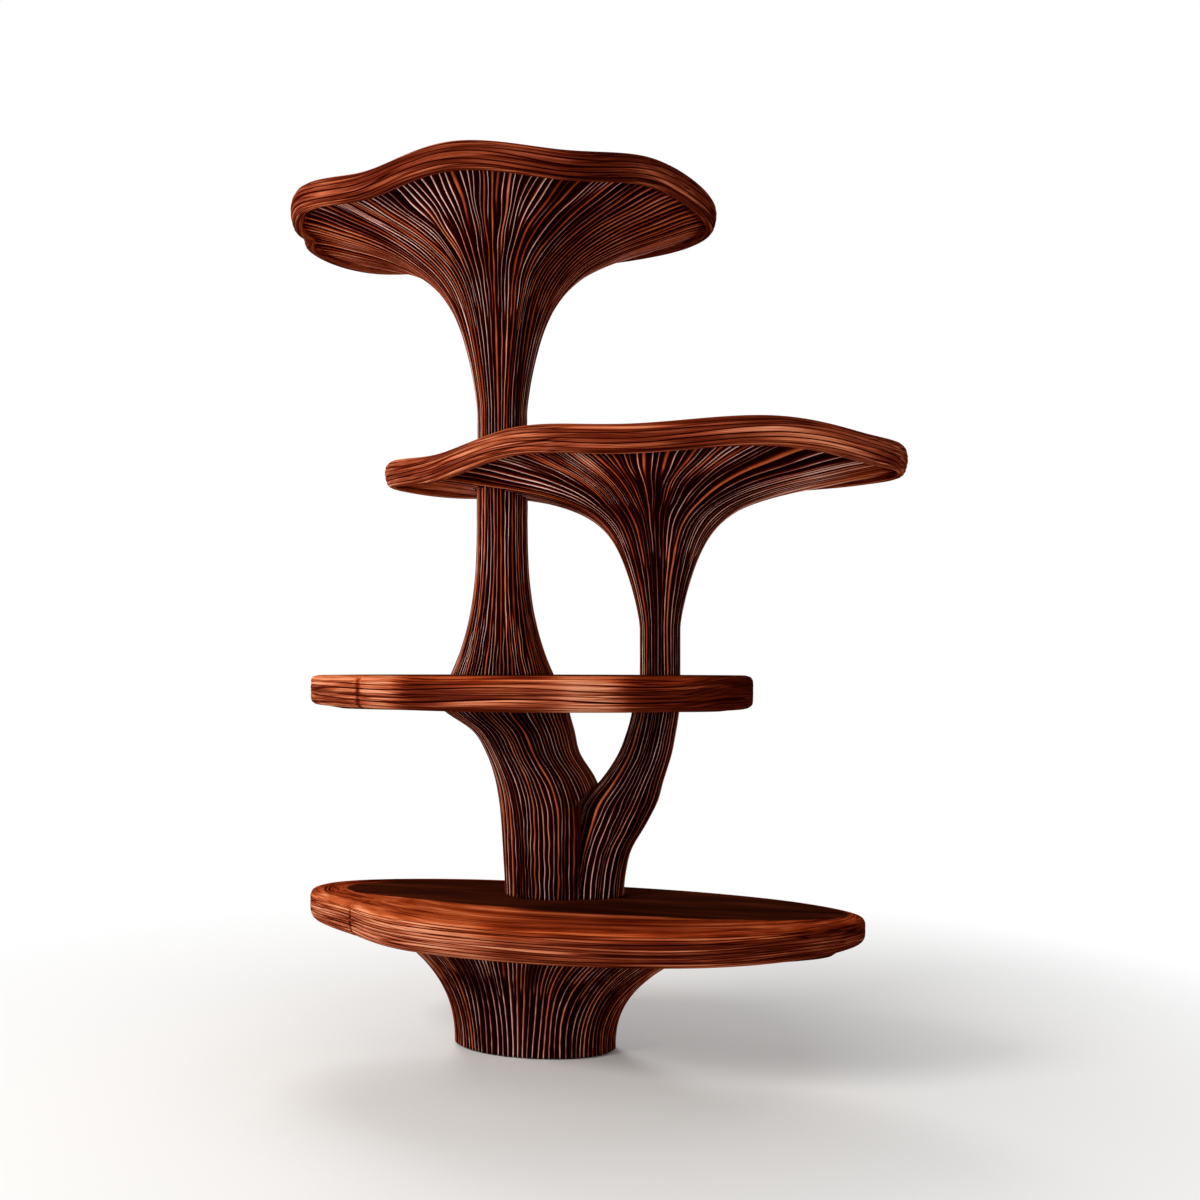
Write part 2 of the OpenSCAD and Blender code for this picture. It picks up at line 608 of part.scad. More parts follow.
module beech() color([.78, .62, .44]) children();
module foot_dowels() beech() for (p = foot_dowel_at)
    dowel(p, lower_z, big_dowel_radius, big_dowel_length);
module trunk_dowels() beech() for (p = trunk_dowel_at)
    dowel(p, lower_top_z, big_dowel_radius, big_dowel_length);
module side_trunk_dowel() beech()
    dowel(side_trunk_dowel_at, lower_top_z, dowel_radius, dowel_length);
module trunk_top_dowel() beech()
    dowel(trunk_top_dowel_at, middle_z, dowel_radius, dowel_length);
module side_trunk_top_dowel() beech()
    dowel(side_top_dowel_at, middle_z, small_dowel_radius, small_dowel_length);
module seam_dowels() beech() for (h = seam_dowel_heights) seam_dowel(h, 0);
module main_stem_dowel() beech()
    dowel(main_stem_dowel_at, middle_top_z, dowel_radius, dowel_length);
module side_stem_dowel() beech()
    dowel(side_stem_dowel_at, middle_top_z, small_dowel_radius, small_dowel_length);
module main_cap_dowel() beech()
    dowel(main_cap_dowel_at, socket_z, small_dowel_radius, small_dowel_length);
module upper_stem_dowel() beech()
    dowel(upper_dowel_at, side_top_z, small_dowel_radius, small_dowel_length);
module side_cap_dowels() beech() for (s = [-1, 1])
    dowel([side_x + s * cap_dowel_reach, 0], side_split_z, dowel_radius, dowel_length);
module top_cap_dowels() beech() for (s = [-1, 1])
    dowel([main_x + s * cap_dowel_reach, 0], top_split_z, dowel_radius, dowel_length);

felt_sole();
foot();
lower_shelf();
main_trunk();
side_trunk();
middle_shelf();
main_stem();
side_stem();
side_cap();
upper_stem();
top_cap();
side_cap_plug();
top_cap_plug();
base_rod();
main_rod();
side_rod();
rod_nuts();
rod_washers();
side_trunk_screw();
side_trunk_screw_washer();
foot_dowels();
trunk_dowels();
side_trunk_dowel();
trunk_top_dowel();
side_trunk_top_dowel();
seam_dowels();
main_stem_dowel();
side_stem_dowel();
main_cap_dowel();
side_cap_dowels();
upper_stem_dowel();
top_cap_dowels();
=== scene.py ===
"""Mushroom-shaped bookshelf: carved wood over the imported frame.

Lengths are millimetres until a mesh is made. X runs along the shelves, -Y is the front.
Turns count round a ring: 0 is the right end, .25 the back, .5 the left end, .75 the front.
Ribs, gills and rim lines are real geometry: each crest and each groove has its own column
or row of vertices. The vertex attributes carry the height on the ridge ("crest"), a random
tone for each ridge ("tone"), how orange it is ("orange"), the way along the grain
("grain") and what is carved band ("band") or flat board ("flat").
"""

import math
from types import SimpleNamespace

import bmesh
import bpy
import numpy as np
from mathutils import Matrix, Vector

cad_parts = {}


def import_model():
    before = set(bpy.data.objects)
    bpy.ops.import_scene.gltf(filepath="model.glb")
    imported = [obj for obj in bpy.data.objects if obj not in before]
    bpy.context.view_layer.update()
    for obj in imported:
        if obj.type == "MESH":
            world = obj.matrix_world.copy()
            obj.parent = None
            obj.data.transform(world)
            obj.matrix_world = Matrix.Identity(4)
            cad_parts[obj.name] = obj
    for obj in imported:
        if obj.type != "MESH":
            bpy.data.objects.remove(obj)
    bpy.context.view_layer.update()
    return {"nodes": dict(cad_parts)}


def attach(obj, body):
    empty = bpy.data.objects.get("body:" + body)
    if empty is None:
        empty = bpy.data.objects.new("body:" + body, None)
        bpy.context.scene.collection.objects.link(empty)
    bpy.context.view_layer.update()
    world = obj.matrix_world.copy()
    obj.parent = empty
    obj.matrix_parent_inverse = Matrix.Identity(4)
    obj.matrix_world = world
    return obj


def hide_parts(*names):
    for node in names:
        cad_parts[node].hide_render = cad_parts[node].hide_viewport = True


MM = 0.001
TURN = 2 * math.pi

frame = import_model()

# Levels, in mm above the floor
FOOT_Z = 3
LOWER_Z = 203
LOWER_TOP_Z = 265
MIDDLE_Z = 582
MIDDLE_TOP_Z = 638
SIDE_LIP_Z = 975
SOCKET_Z = 980
SIDE_TOP_Z = 1010
TOP_LIP_Z = 1415
TOP_TOP_Z = 1445

# Where the stems stand along X, and the radius of their necks
MAIN_X = -57
SIDE_X = 224
NECK = {"main": 44.5, "side": 34.5, "upper": 43.5}

# The lip of a cap: its width, and how deep the gills end in it
LIP_WIDTH = 20
GILL_RECESS = 5

# Where the seat between stem and cap lies on the way from the neck to the rim
SPLIT_SHARE = 0.76

# The outlines are ellipses, drawn in or out at even turns by "lobes". Of a slab, "round"
# holds the radii of its lower and upper edge, "lift" is how far the lower edge is lifted
# and "border" how wide the worked border on top is. "pale" and "dull" are zones along the
# edge (place, width, strength): "pale" is painted highlight and "dull" painted shade.
# "joints" are the places of glue lines.
LOWER = {
    "centre": (93, -92), "half": (477, 201.6), "z": LOWER_Z, "thick": 62, "round": (22, 16),
    "lobes": [1.00, .945, .91, .93, 1.09, 1.12, .985, .87, .95, 1.02, 1.01, .97],
    "lift": [17, 9, 0, 0, 0, 4, 9, 4, 0, 0, 2, 8],
    "border": [30, 20, 18, 18, 22, 50, 90, 125, 135, 120, 105, 60],
    "pale": [(.59, .09, .55), (.70, .028, .7)], "dull": [(.93, .06, .15)],
    "joints": [.59]}
MIDDLE = {
    "centre": (16, -75), "half": (380, 190), "z": MIDDLE_Z, "thick": 56, "round": (12, 12),
    "lobes": [.985, 1.03, .98, .97, 1.0, 1.03, .99, 1.04, 1.0, 1.0, 1.0, 1.10],
    "lift": [6, 2, 0, 0, 0, 3, 8, 6, 2, 0, 0, 3],
    "border": [30, 24, 24, 24, 30, 45, 60, 50, 45, 45, 50, 40],
    "pale": [(.59, .055, .3), (.662, .019, .6), (.76, .035, .15), (.816, .025, .9)],
    "dull": [(.87, .04, .12)],
    "joints": [.642]}

# Of a cap, "start" is the level where the neck starts to open, "flare" and "power" say how
# it opens, "wave" is the rim's height and "dents" are notches in it (place, width, depth).
# "light" paints the rim paler, as painted highlight, and "warm" makes the gills more orange
# towards the long ends.
SIDE_CAP = {
    "x": SIDE_X, "neck": NECK["side"], "flare": 95, "power": 7.5, "start": 715,
    "base": MIDDLE_TOP_Z, "lip": SIDE_LIP_Z, "top": SIDE_TOP_Z,
    "centre": (212, 29), "half": (449, 194),
    "lobes": [.931, .981, 1.0, 1.0, 1.004, 1.045, 1.118, .972, .918, .985, 1.015, .974],
    "wave": [-8.4, -9.5, -10.4, -5.3, -5, -11.4, -1.4, -5.4, 24.6, 14, 19.5, -5.7],
    "light": .2, "warm": .45}
TOP_CAP = {
    "x": MAIN_X, "neck": NECK["upper"], "flare": 90, "power": 6, "start": 1090,
    "base": SIDE_TOP_Z, "lip": TOP_LIP_Z, "top": TOP_TOP_Z,
    "centre": (-58, 14), "half": (369, 262),
    "lobes": [1.002, 1.023, 1.013, .998, .999, 1.015, 1.037, 1.041, .939, .978, .983, .949],
    "wave": [-15, -10.5, -.9, 5.2, 3.9, -13.9, -8.2, 14.5, 1.5, 17.3, -2.5, 7.4],
    "dents": [(.522, .011, 12)], "light": 0, "warm": .9}

# Radii of the bores, depths of their pockets, and how far a cutter goes past a face
ROD_BORE = 7
COUNTERBORE = 15
PLUG_HOLE = 18.15
SOCKET = 44.65
SCREW_BORE = 4.15
SCREW_HEAD_BORE = 11
PLUG_DEPTH = 8
CAP_POCKET = 22
CAP_ROD_DEPTH = 120
FOOT_POCKET = 25
SHELF_POCKET = 20
SCREW_HEAD_DEPTH = 10
SCREW_DEPTH = 48
PAST = 1

# Where the rods and the screw stand, x and y
BASE_ROD = (10, 0)
MAIN_ROD = (MAIN_X, 0)
SIDE_ROD = (SIDE_X, 0)
SCREW = (131, -8)
SOCKET_LOW_Z = SIDE_LIP_Z - 60


def through(place, low, high, radius):
    """A bore right through a piece: x, y, lower level, upper level and radius."""
    return *place, low - PAST, high + PAST, radius


def from_below(place, face, depth, radius):
    """A bore into a lower face."""
    return *place, face - PAST, face + depth, radius


def from_above(place, face, depth, radius):
    """A bore into an upper face."""
    return *place, face - depth, face + PAST, radius


def nut_bores(rod, top):
    """Rod bore, nut pocket and plug recess under the top of a cap."""
    return [from_above(rod, top, PLUG_DEPTH + CAP_POCKET + CAP_ROD_DEPTH, ROD_BORE),
            from_above(rod, top, PLUG_DEPTH + CAP_POCKET, COUNTERBORE),
            from_above(rod, top, PLUG_DEPTH, PLUG_HOLE)]


BORES = {
    "foot": [through(BASE_ROD, FOOT_Z, LOWER_Z, ROD_BORE),
             from_below(BASE_ROD, FOOT_Z, FOOT_POCKET, COUNTERBORE)],
    "lower_shelf": [through(BASE_ROD, LOWER_Z, LOWER_TOP_Z, ROD_BORE),
                    through(SCREW, LOWER_Z, LOWER_TOP_Z, SCREW_BORE),
                    from_below(SCREW, LOWER_Z, SCREW_HEAD_DEPTH, SCREW_HEAD_BORE)],
    "main_trunk": [through(BASE_ROD, LOWER_TOP_Z, MIDDLE_Z, ROD_BORE)],
    "side_trunk": [from_below(SCREW, LOWER_TOP_Z, SCREW_DEPTH, SCREW_BORE)],
    "middle_shelf": [through(rod, MIDDLE_Z, MIDDLE_TOP_Z, ROD_BORE)
                     for rod in (BASE_ROD, MAIN_ROD, SIDE_ROD)]
                    + [from_below(rod, MIDDLE_Z, SHELF_POCKET, COUNTERBORE)
                       for rod in (MAIN_ROD, SIDE_ROD)]
                    + [from_above(BASE_ROD, MIDDLE_TOP_Z, SHELF_POCKET, COUNTERBORE)],
    "main_stem": [through(MAIN_ROD, MIDDLE_TOP_Z, SOCKET_Z, ROD_BORE)],
    "side_stem": [from_below(SIDE_ROD, MIDDLE_TOP_Z, SIDE_TOP_Z - MIDDLE_TOP_Z, ROD_BORE)],
    "upper_stem": [from_below(MAIN_ROD, SIDE_TOP_Z, TOP_TOP_Z - SIDE_TOP_Z, ROD_BORE)],
    "side_cap": nut_bores(SIDE_ROD, SIDE_TOP_Z) + [
        (*MAIN_ROD, SOCKET_LOW_Z, SOCKET_Z, SOCKET),
        from_above(MAIN_ROD, SIDE_TOP_Z, SIDE_TOP_Z - SOCKET_LOW_Z, ROD_BORE)],
    "top_cap": nut_bores(MAIN_ROD, TOP_TOP_Z)}


# Curves

def blend(a, b, c, d, t):
    """The smooth curve from b to c, with a before and d after."""
    return .5 * (2 * b + (c - a) * t + (2 * a - 5 * b + 4 * c - d) * t**2
                 + (3 * b - a - 3 * c + d) * t**3)


def around(values, turn):
    """A smooth closed curve through evenly spaced values."""
    v = np.asarray(values, float)
    n = len(v)
    s = np.mod(turn, 1.0) * n
    i = np.floor(s).astype(int) % n
    return blend(v[i - 1], v[i], v[(i + 1) % n], v[(i + 2) % n], s - np.floor(s))


def along(values, share):
    """A smooth open curve through evenly spaced values."""
    v = np.asarray(values, float)
    n = len(v) - 1
    s = np.clip(share, 0, 1) * n
    i = np.minimum(np.floor(s).astype(int), n - 1)
    return blend(v[np.maximum(i - 1, 0)], v[i], v[i + 1], v[np.minimum(i + 2, n)], s - i)


def bumps(turn, places, steep=2):
    """The sum of smooth bumps round the ring, each a (place, width, height)."""
    rise = 0 * turn
    for place, width, height in places:
        away = np.mod(turn - place + .5, 1) - .5
        rise = rise + height * np.exp(-np.abs(away / width) ** steep)
    return rise


def edge(shape, turn, inset):
    """A point on a lobed outline with its dents, some way in from its edge."""
    k = around(shape["lobes"], turn)
    cx, cy = shape["centre"]
    hx, hy = shape["half"]
    inset = inset + bumps(turn, shape.get("dents", ()))
    return (cx + (hx - inset) * k * np.cos(TURN * turn),
            cy + (hy - inset) * k * np.sin(TURN * turn))


def edge_ring(shape, turn, inset, z):
    """The same as points all round, at one level."""
    x, y = edge(shape, turn, inset)
    return np.stack([x, y, np.full_like(x, z)], axis=1)


def step(x, low, high):
    """0 below low, 1 above high, smooth between."""
    t = np.clip((x - low) / (high - low), 0, 1)
    return t * t * (3 - 2 * t)


def drift(turn, share, seed, fine, length=2.0, waves=7):
    """Smooth noise, about -1 to 1, that closes on itself round the ring: up to fine waves
    round it, and up to length waves on the way from share 0 to 1."""
    rng = np.random.default_rng(seed)
    height = 0
    for _ in range(waves):
        n = rng.integers(1, fine + 1)
        height = height + np.sin(TURN * (n * turn + rng.uniform(-length, length) * share)
                                 + rng.uniform(0, TURN))
    return height / (.55 * waves)


def ridge(phase, wide):
    """Ribs at whole numbers of phase: sharp with wide at 1, else flatter."""
    return 1 - np.abs(np.sin(math.pi * phase)) ** wide


def even_angles(turn, hx, hy):
    """Angles on an ellipse that are evenly spaced along its edge."""
    a = np.linspace(0, TURN, 721)
    mid = (a[1:] + a[:-1]) / 2
    length = np.concatenate([[0], np.cumsum(np.hypot(hx * np.sin(mid), hy * np.cos(mid)))])
    whole = np.floor(turn)
    return np.interp(turn - whole, length / length[-1], a) + TURN * whole


def even_shares(curve, count):
    """Shares from 0 to 1 that are evenly spaced along a curve of points."""
    u = np.linspace(0, 1, 400)
    p = curve(u)
    length = np.concatenate([[0], np.cumsum(np.linalg.norm(np.diff(p, axis=0), axis=1))])
    return np.interp(np.linspace(0, length[-1], count), length, u)


# Grids of points: rows run up the piece, columns round it

def stack(*parts):
    """Joins grids row by row."""
    return np.concatenate([np.atleast_2d(part) for part in parts], axis=0)


def level_rows(values, turn):
    """A grid with a row for each value."""
    return np.reshape(values, (-1, 1)) + 0 * turn


def shrunk(ring, centre, shares):
    """Copies of a ring of points, shrunk towards a centre to these shares."""
    centre = np.array(centre)
    return centre + (ring - centre) * np.reshape(shares, (-1, 1, 1))


def run_length(points):
    """The way along each column of a grid, in mm."""
    steps = np.linalg.norm(np.diff(points, axis=0), axis=2)
    return np.concatenate([np.zeros((1, points.shape[1])), np.cumsum(steps, axis=0)])


def normals(p):
    """Outward normals of a grid of points."""
    across = np.roll(p, -1, axis=1) - np.roll(p, 1, axis=1)
    n = np.cross(across, np.gradient(p, axis=0))
    return n / np.maximum(np.linalg.norm(n, axis=2, keepdims=True), 1e-9)


def sink(points, depth):
    """Moves points level and inwards, to this depth under the surface."""
    n = normals(points)
    flat = np.maximum((n[:, :, :2] ** 2).sum(2), .3)
    inward = np.dstack([n[:, :, 0] / flat, n[:, :, 1] / flat, np.zeros(flat.shape)])
    return points - inward * depth[:, :, None]


def carve(points, level, depth, first, last):
    """Cuts lines into a band, deepest where level is 0. Its first and last rows stay."""
    cut = depth * (1 - level)
    cut[:first] = 0
    cut[-last:] = 0
    return points - normals(points) * cut[:, :, None]


# Meshes

def placed(name, data):
    """A new object in the scene."""
    made = bpy.data.objects.new(name, data)
    bpy.context.scene.collection.objects.link(made)
    return made


def grid_mesh(name, points, attributes, material, top_wood=None, top_row=0):
    """A closed mesh over a grid of points, in place of the CAD node of its name. Its rows
    from top_row on may have a wood of their own."""
    rows, cols = points.shape[:2]
    index = np.arange(rows * cols).reshape(rows, cols)
    nxt = np.roll(index, -1, axis=1)
    quads = np.stack([index[:-1], nxt[:-1], nxt[1:], index[1:]], axis=2).reshape(-1, 4)
    faces = quads.tolist() + [index[0, ::-1].tolist(), index[-1].tolist()]
    mesh = bpy.data.meshes.new(name)
    mesh.from_pydata((points.reshape(-1, 3) * MM).tolist(), [], faces)
    smooth = np.ones(len(faces), bool)
    smooth[-2:] = False
    mesh.polygons.foreach_set("use_smooth", smooth)
    for key, value in attributes.items():
        value = np.asarray(value, float)
        vector = value.ndim == 3
        layer = mesh.attributes.new(key, "FLOAT_VECTOR" if vector else "FLOAT", "POINT")
        layer.data.foreach_set("vector" if vector else "value",
                               np.broadcast_to(value, (rows, cols) + value.shape[2:]).ravel())
    mesh.materials.append(material)
    if top_wood:
        mesh.materials.append(top_wood)
        on_top = np.zeros(len(faces), int)
        on_top[top_row * cols:-2] = 1
        on_top[-1] = 1
        mesh.polygons.foreach_set("material_index", on_top)
    piece = placed("carved_" + name, mesh)
    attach(piece, "root")
    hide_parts(name)
    cut_bores(piece, BORES[name])


def bore_tool(material, x, y, low, high, radius):
    """A round bar to cut a bore with. The cut gets its material."""
    mesh = bpy.data.meshes.new("bore")
    bm = bmesh.new()
    bmesh.ops.create_cone(bm, cap_ends=True, segments=64, radius1=radius * MM,
                          radius2=radius * MM, depth=(high - low) * MM)
    bmesh.ops.translate(bm, verts=bm.verts, vec=(x * MM, y * MM, (low + high) / 2 * MM))
    bm.to_mesh(mesh)
    bm.free()
    mesh.materials.append(material)
    return placed("bore", mesh)


def cut_bores(piece, bores):
    """Cuts round holes into a piece, as the CAD has them."""
    tools = [bore_tool(piece.data.materials[0], *bore) for bore in bores]
    for tool in tools:
        cut = piece.modifiers.new("bore", "BOOLEAN")
        cut.operation = "DIFFERENCE"
        cut.solver = "MANIFOLD"
        cut.object = tool
    graph = bpy.context.evaluated_depsgraph_get()
    done = bpy.data.meshes.new_from_object(piece.evaluated_get(graph))
    piece.modifiers.clear()
    old = piece.data
    piece.data = done
    done.name = piece.name
    bpy.data.meshes.remove(old)
    for tool in tools:
        bpy.data.meshes.remove(tool.data)


# Radii that the grain of columns and rims is laid on. RIM_ACROSS draws it out across the
# rim, RIM_ENDS keeps front and back apart.
COLUMN_GRAIN = 60
RIM_GRAIN = 330
RIM_ACROSS = 8
RIM_ENDS = 90


def round_grain(turn, run):
    """Grain that runs up a column: fine across the ring, long up the rows."""
    wide = np.broadcast_to(turn, np.broadcast(turn, run).shape)
    return np.stack([COLUMN_GRAIN * np.cos(TURN * wide), COLUMN_GRAIN * np.sin(TURN * wide),
                     np.broadcast_to(run, wide.shape)], axis=2) * MM


def ring_grain(turn, run):
    """Grain that runs round a rim, the same way out and back, so that it closes on itself.
    The run is counted from the edge of the band."""
    wide = np.broadcast_to(turn, np.broadcast(turn, run).shape)
    way = TURN * RIM_GRAIN * np.abs(np.mod(wide, 1) - .5)
    return np.stack([np.broadcast_to(RIM_ACROSS * run, wide.shape),
                     RIM_ENDS * np.sin(TURN * wide), way], axis=2) * MM


# Carved ribs: the steps of their columns, 0 being the crest, how much their widths differ,
# how many are broad, and how unevenly and over what way the finer ones rise
RIB_STEPS = np.array([0, .14, .5, .86])
RIB_UNEVEN = .3
BROAD_SHARE = .16
BIRTH_SPREAD = .22
BIRTH_WAY = .07


class Ribs:
    """A field of ribs round a ring, with four columns to each of the finest. Coarser ribs
    come first; the finer ones rise between them."""

    def __init__(self, count, seed):
        rng = np.random.default_rng(seed)
        width = 1 + rng.uniform(-RIB_UNEVEN, RIB_UNEVEN, count)
        start = np.concatenate([[0], np.cumsum(width)[:-1]]) / width.sum()
        rib = np.repeat(np.arange(count), len(RIB_STEPS))
        self.count = count
        self.seed = seed
        self.index = rib + np.tile(RIB_STEPS, count)
        self.turn = start[rib] + (width / width.sum())[rib] * np.tile(RIB_STEPS, count)
        self.random = rng.random((4, count))

    def per_rib(self, period, row=0):
        """A random number for each rib of this period."""
        nearest = np.round(self.index / period).astype(int) * period % self.count
        return self.random[row][nearest][None, :]

    def heights(self, share, levels, flats=0, delay=0):
        """Height, tone and breadth, 0 to 1, from levels of (period, share where born).
        Flats broadens all ribs, and the finest rise later by delay."""
        height = tone = breadth = 0 * share * self.index
        for period, born in levels:
            late = born + BIRTH_SPREAD * (self.per_rib(period, 1) - .5)
            if period == levels[-1][0]:
                late = late + delay
            grown = step(share, late - BIRTH_WAY, late + BIRTH_WAY) if born else 1 + 0 * share
            broad = np.maximum(self.per_rib(period, 2) > 1 - BROAD_SHARE, flats)
            height = height * (1 - grown) + ridge(self.index / period, 1 + 1.8 * broad) * grown
            tone = tone * (1 - grown) + self.per_rib(period) * grown
            breadth = breadth * (1 - grown) + broad * grown
        return height, tone, breadth

    def sway(self, share, much, kink):
        """The columns' places round the ring: they wander, with small kinks."""
        place = self.turn[None, :]
        wander = drift(place, share, self.seed + 1, fine=14, length=1.3, waves=12)
        kinks = drift(place, share, self.seed + 9, fine=self.count // 5, length=8,
                      waves=16)
        return place + (much * wander + kink * kinks) / self.count

    def wear(self, share):
        """How far each crest is left standing, about .85 to 1."""
        place = self.turn[None, :]
        return .95 + .07 * drift(place, share, self.seed + 17, fine=self.count // 4, length=9,
                                 waves=16)

    def endward(self):
        """How near each column lies to a long end of its ring, 0 to 1."""
        return np.abs(np.cos(TURN * self.turn))[None, :]


# The ribbed columns. Reaches are to the left, right, front and back.
FOOT_REACH = (-139, 147, -92, 80)
FOOT_GAIN = (-93, 183, -112, -14)
FOOT_FLARE = 2.35

# The main trunk's left and right reach at even steps up, and its front and back reach
# below with what they gain above
TRUNK_LEFT = [-44, -46, -48.5, -51, -55, -62, -75, -100, -158]
TRUNK_RIGHT = [125, 126, 127, 128, 126, 111, 85, 75, 66]
TRUNK_FRONT = (-88, -27)
TRUNK_BACK = (66, 12)

# The side trunk's middle below and above, its half width and depth, how much of the depth
# it loses, how far its foot stands forward, and its sweep and swell at even steps up
SIDE_FOOT_X = 115
SIDE_HEAD_X = SIDE_X - 7
SIDE_HALF = 48
SIDE_DEPTH = 49
SIDE_TAPER = .18
SIDE_FORWARD = 12
SWEEP = [0, .03, .105, .24, .397, .62, .81, .925, 1]
SWELL = [1, 1.01, 1.06, 1.26, 1.35, 1.11, .96, .875, .833]

# The bent seam between the trunks: heights, places along X, and half the glue gap
SEAM_HEIGHTS = [0, 154, 190, 317]
SEAM_PLACES = [100, 95, 119, 140]
SEAM_GAP = .15

# The main stem's neck level, how much wider it is below, and how fast it spreads
STEM_NECK_Z = MIDDLE_TOP_Z + 277
STEM_SPREAD = 45.5
STEM_FLARE = 2.8


def oval(left, right, front, back, z, turn):
    """Points on a level oval between four reaches."""
    x = (left + right) / 2 + (right - left) / 2 * np.cos(TURN * turn)
    y = (front + back) / 2 + (back - front) / 2 * np.sin(TURN * turn)
    return np.stack(np.broadcast_arrays(x, y, z), axis=2)


def foot_ring(turn, share):
    """The foot flares to the left, right and front; its back leans in."""
    flare = share ** FOOT_FLARE
    grown = (flare, flare, flare, share)
    reach = [start + gain * part for start, gain, part in zip(FOOT_REACH, FOOT_GAIN, grown)]
    return oval(*reach, FOOT_Z + (LOWER_Z - FOOT_Z) * share, turn)


def main_trunk_ring(turn, share):
    """The main trunk sweeps out to the left under the middle shelf."""
    front, back = (start + gain * share**3 for start, gain in (TRUNK_FRONT, TRUNK_BACK))
    return oval(along(TRUNK_LEFT, share), along(TRUNK_RIGHT, share), front, back,
                LOWER_TOP_Z + (MIDDLE_Z - LOWER_TOP_Z) * share, turn)


def side_trunk_ring(turn, share):
    """The side trunk runs up to the right in an S and is widest at its bend."""
    x = SIDE_FOOT_X + (SIDE_HEAD_X - SIDE_FOOT_X) * along(SWEEP, share)
    half = SIDE_HALF * along(SWELL, share)
    depth = SIDE_DEPTH * (1 - SIDE_TAPER * share)
    y = -SIDE_FORWARD * (1 - share)
    return oval(x - half, x + half, y - depth, y + depth,
                LOWER_TOP_Z + (MIDDLE_Z - LOWER_TOP_Z) * share, turn)


def main_stem_ring(turn, share):
    """The main stem is round and narrows to its neck in the side cap."""
    z = MIDDLE_TOP_Z + (SOCKET_Z - MIDDLE_TOP_Z) * share
    under = np.clip((STEM_NECK_Z - z) / (STEM_NECK_Z - MIDDLE_TOP_Z), 0, 1)
    r = NECK["main"] + STEM_SPREAD * under ** STEM_FLARE
    return oval(MAIN_X - r, MAIN_X + r, -r, r, z, turn)


def cut_at_seam(points, side):
    """Keeps one side of the bent seam between the two trunks."""
    seam = np.interp(points[:, :, 2] - LOWER_TOP_Z, SEAM_HEIGHTS, SEAM_PLACES)
    seam = seam + side * SEAM_GAP
    keep = np.maximum if side > 0 else np.minimum
    points[:, :, 0] = keep(points[:, :, 0], seam)
    return points


# Mushroom caps. OPENING bends the neck's flare, FAN is how far the gills spread evenly
# along the rim. Towards its long ends they arch over by ARCHING turns, and the finest rise
# later by SPARSE.
OPENING = 1.45
ARCHING = .026
FAN = .4
SPARSE = .3
STEM_ROWS = 24
TRUMPET_ROWS = 96
SEAT_GAP = .004
RIB_DEPTH = 2.6
GILL_DEPTH = 4.6
LIP_DEPTH = 3.5

# The rim band at even steps from the lip to the board: inset, and rise up to its crest
RIM_INSET = [LIP_WIDTH, 16.5, 12, 6, 2.2, 0, .8, 4.5, 12, 22, 38, 62]
RIM_RISE = [GILL_RECESS, 1.2, 0, 3.5, 12, 24, 34, 42, 47, 49]
RIM_CREST = .82
RIM_FALL = .8
RIM_TOP_ROWS = 14
RIM_LINE_DEPTH = 2.6
CAP_FLAT_ROWS = 16
CAP_BOARD_ROWS = 20


def split_level(shape):
    """The height of the flat seat between a stem and its cap."""
    start = shape["start"]
    return start + (shape["lip"] + GILL_RECESS - start) * SPLIT_SHARE


def trumpet(shape, turn, u):
    """The CAD's trumpet: round on the stem at u = 0, on the lobed rim at u = 1."""
    split_z = split_level(shape)
    out = np.maximum(0, (u - SPLIT_SHARE) / (1 - SPLIT_SHARE))
    r = shape["neck"] + shape["flare"] * u**OPENING
    bx = shape["x"] + r * np.cos(TURN * turn)
    by = r * np.sin(TURN * turn)
    ex, ey = edge(shape, turn, LIP_WIDTH)
    pull = u ** shape["power"]
    low = shape["start"] + (split_z - shape["start"]) * u / SPLIT_SHARE
    high = split_z + (shape["lip"] + GILL_RECESS + around(shape["wave"], turn) - split_z) * out
    z = np.where(out > 0, high, low)
    return np.stack(np.broadcast_arrays(bx + pull * (ex - bx), by + pull * (ey - by), z), axis=-1)


def rim_profile(v, lip, top, wave):
    """Inset and height of the rim band: v = 0 at the lip, 1 where the flat top starts."""
    rise = along(RIM_RISE, np.minimum(v / RIM_CREST, 1))
    fall = step(v, RIM_FALL, 1)
    return along(RIM_INSET, v), (lip + rise + wave) * (1 - fall) + top * fall


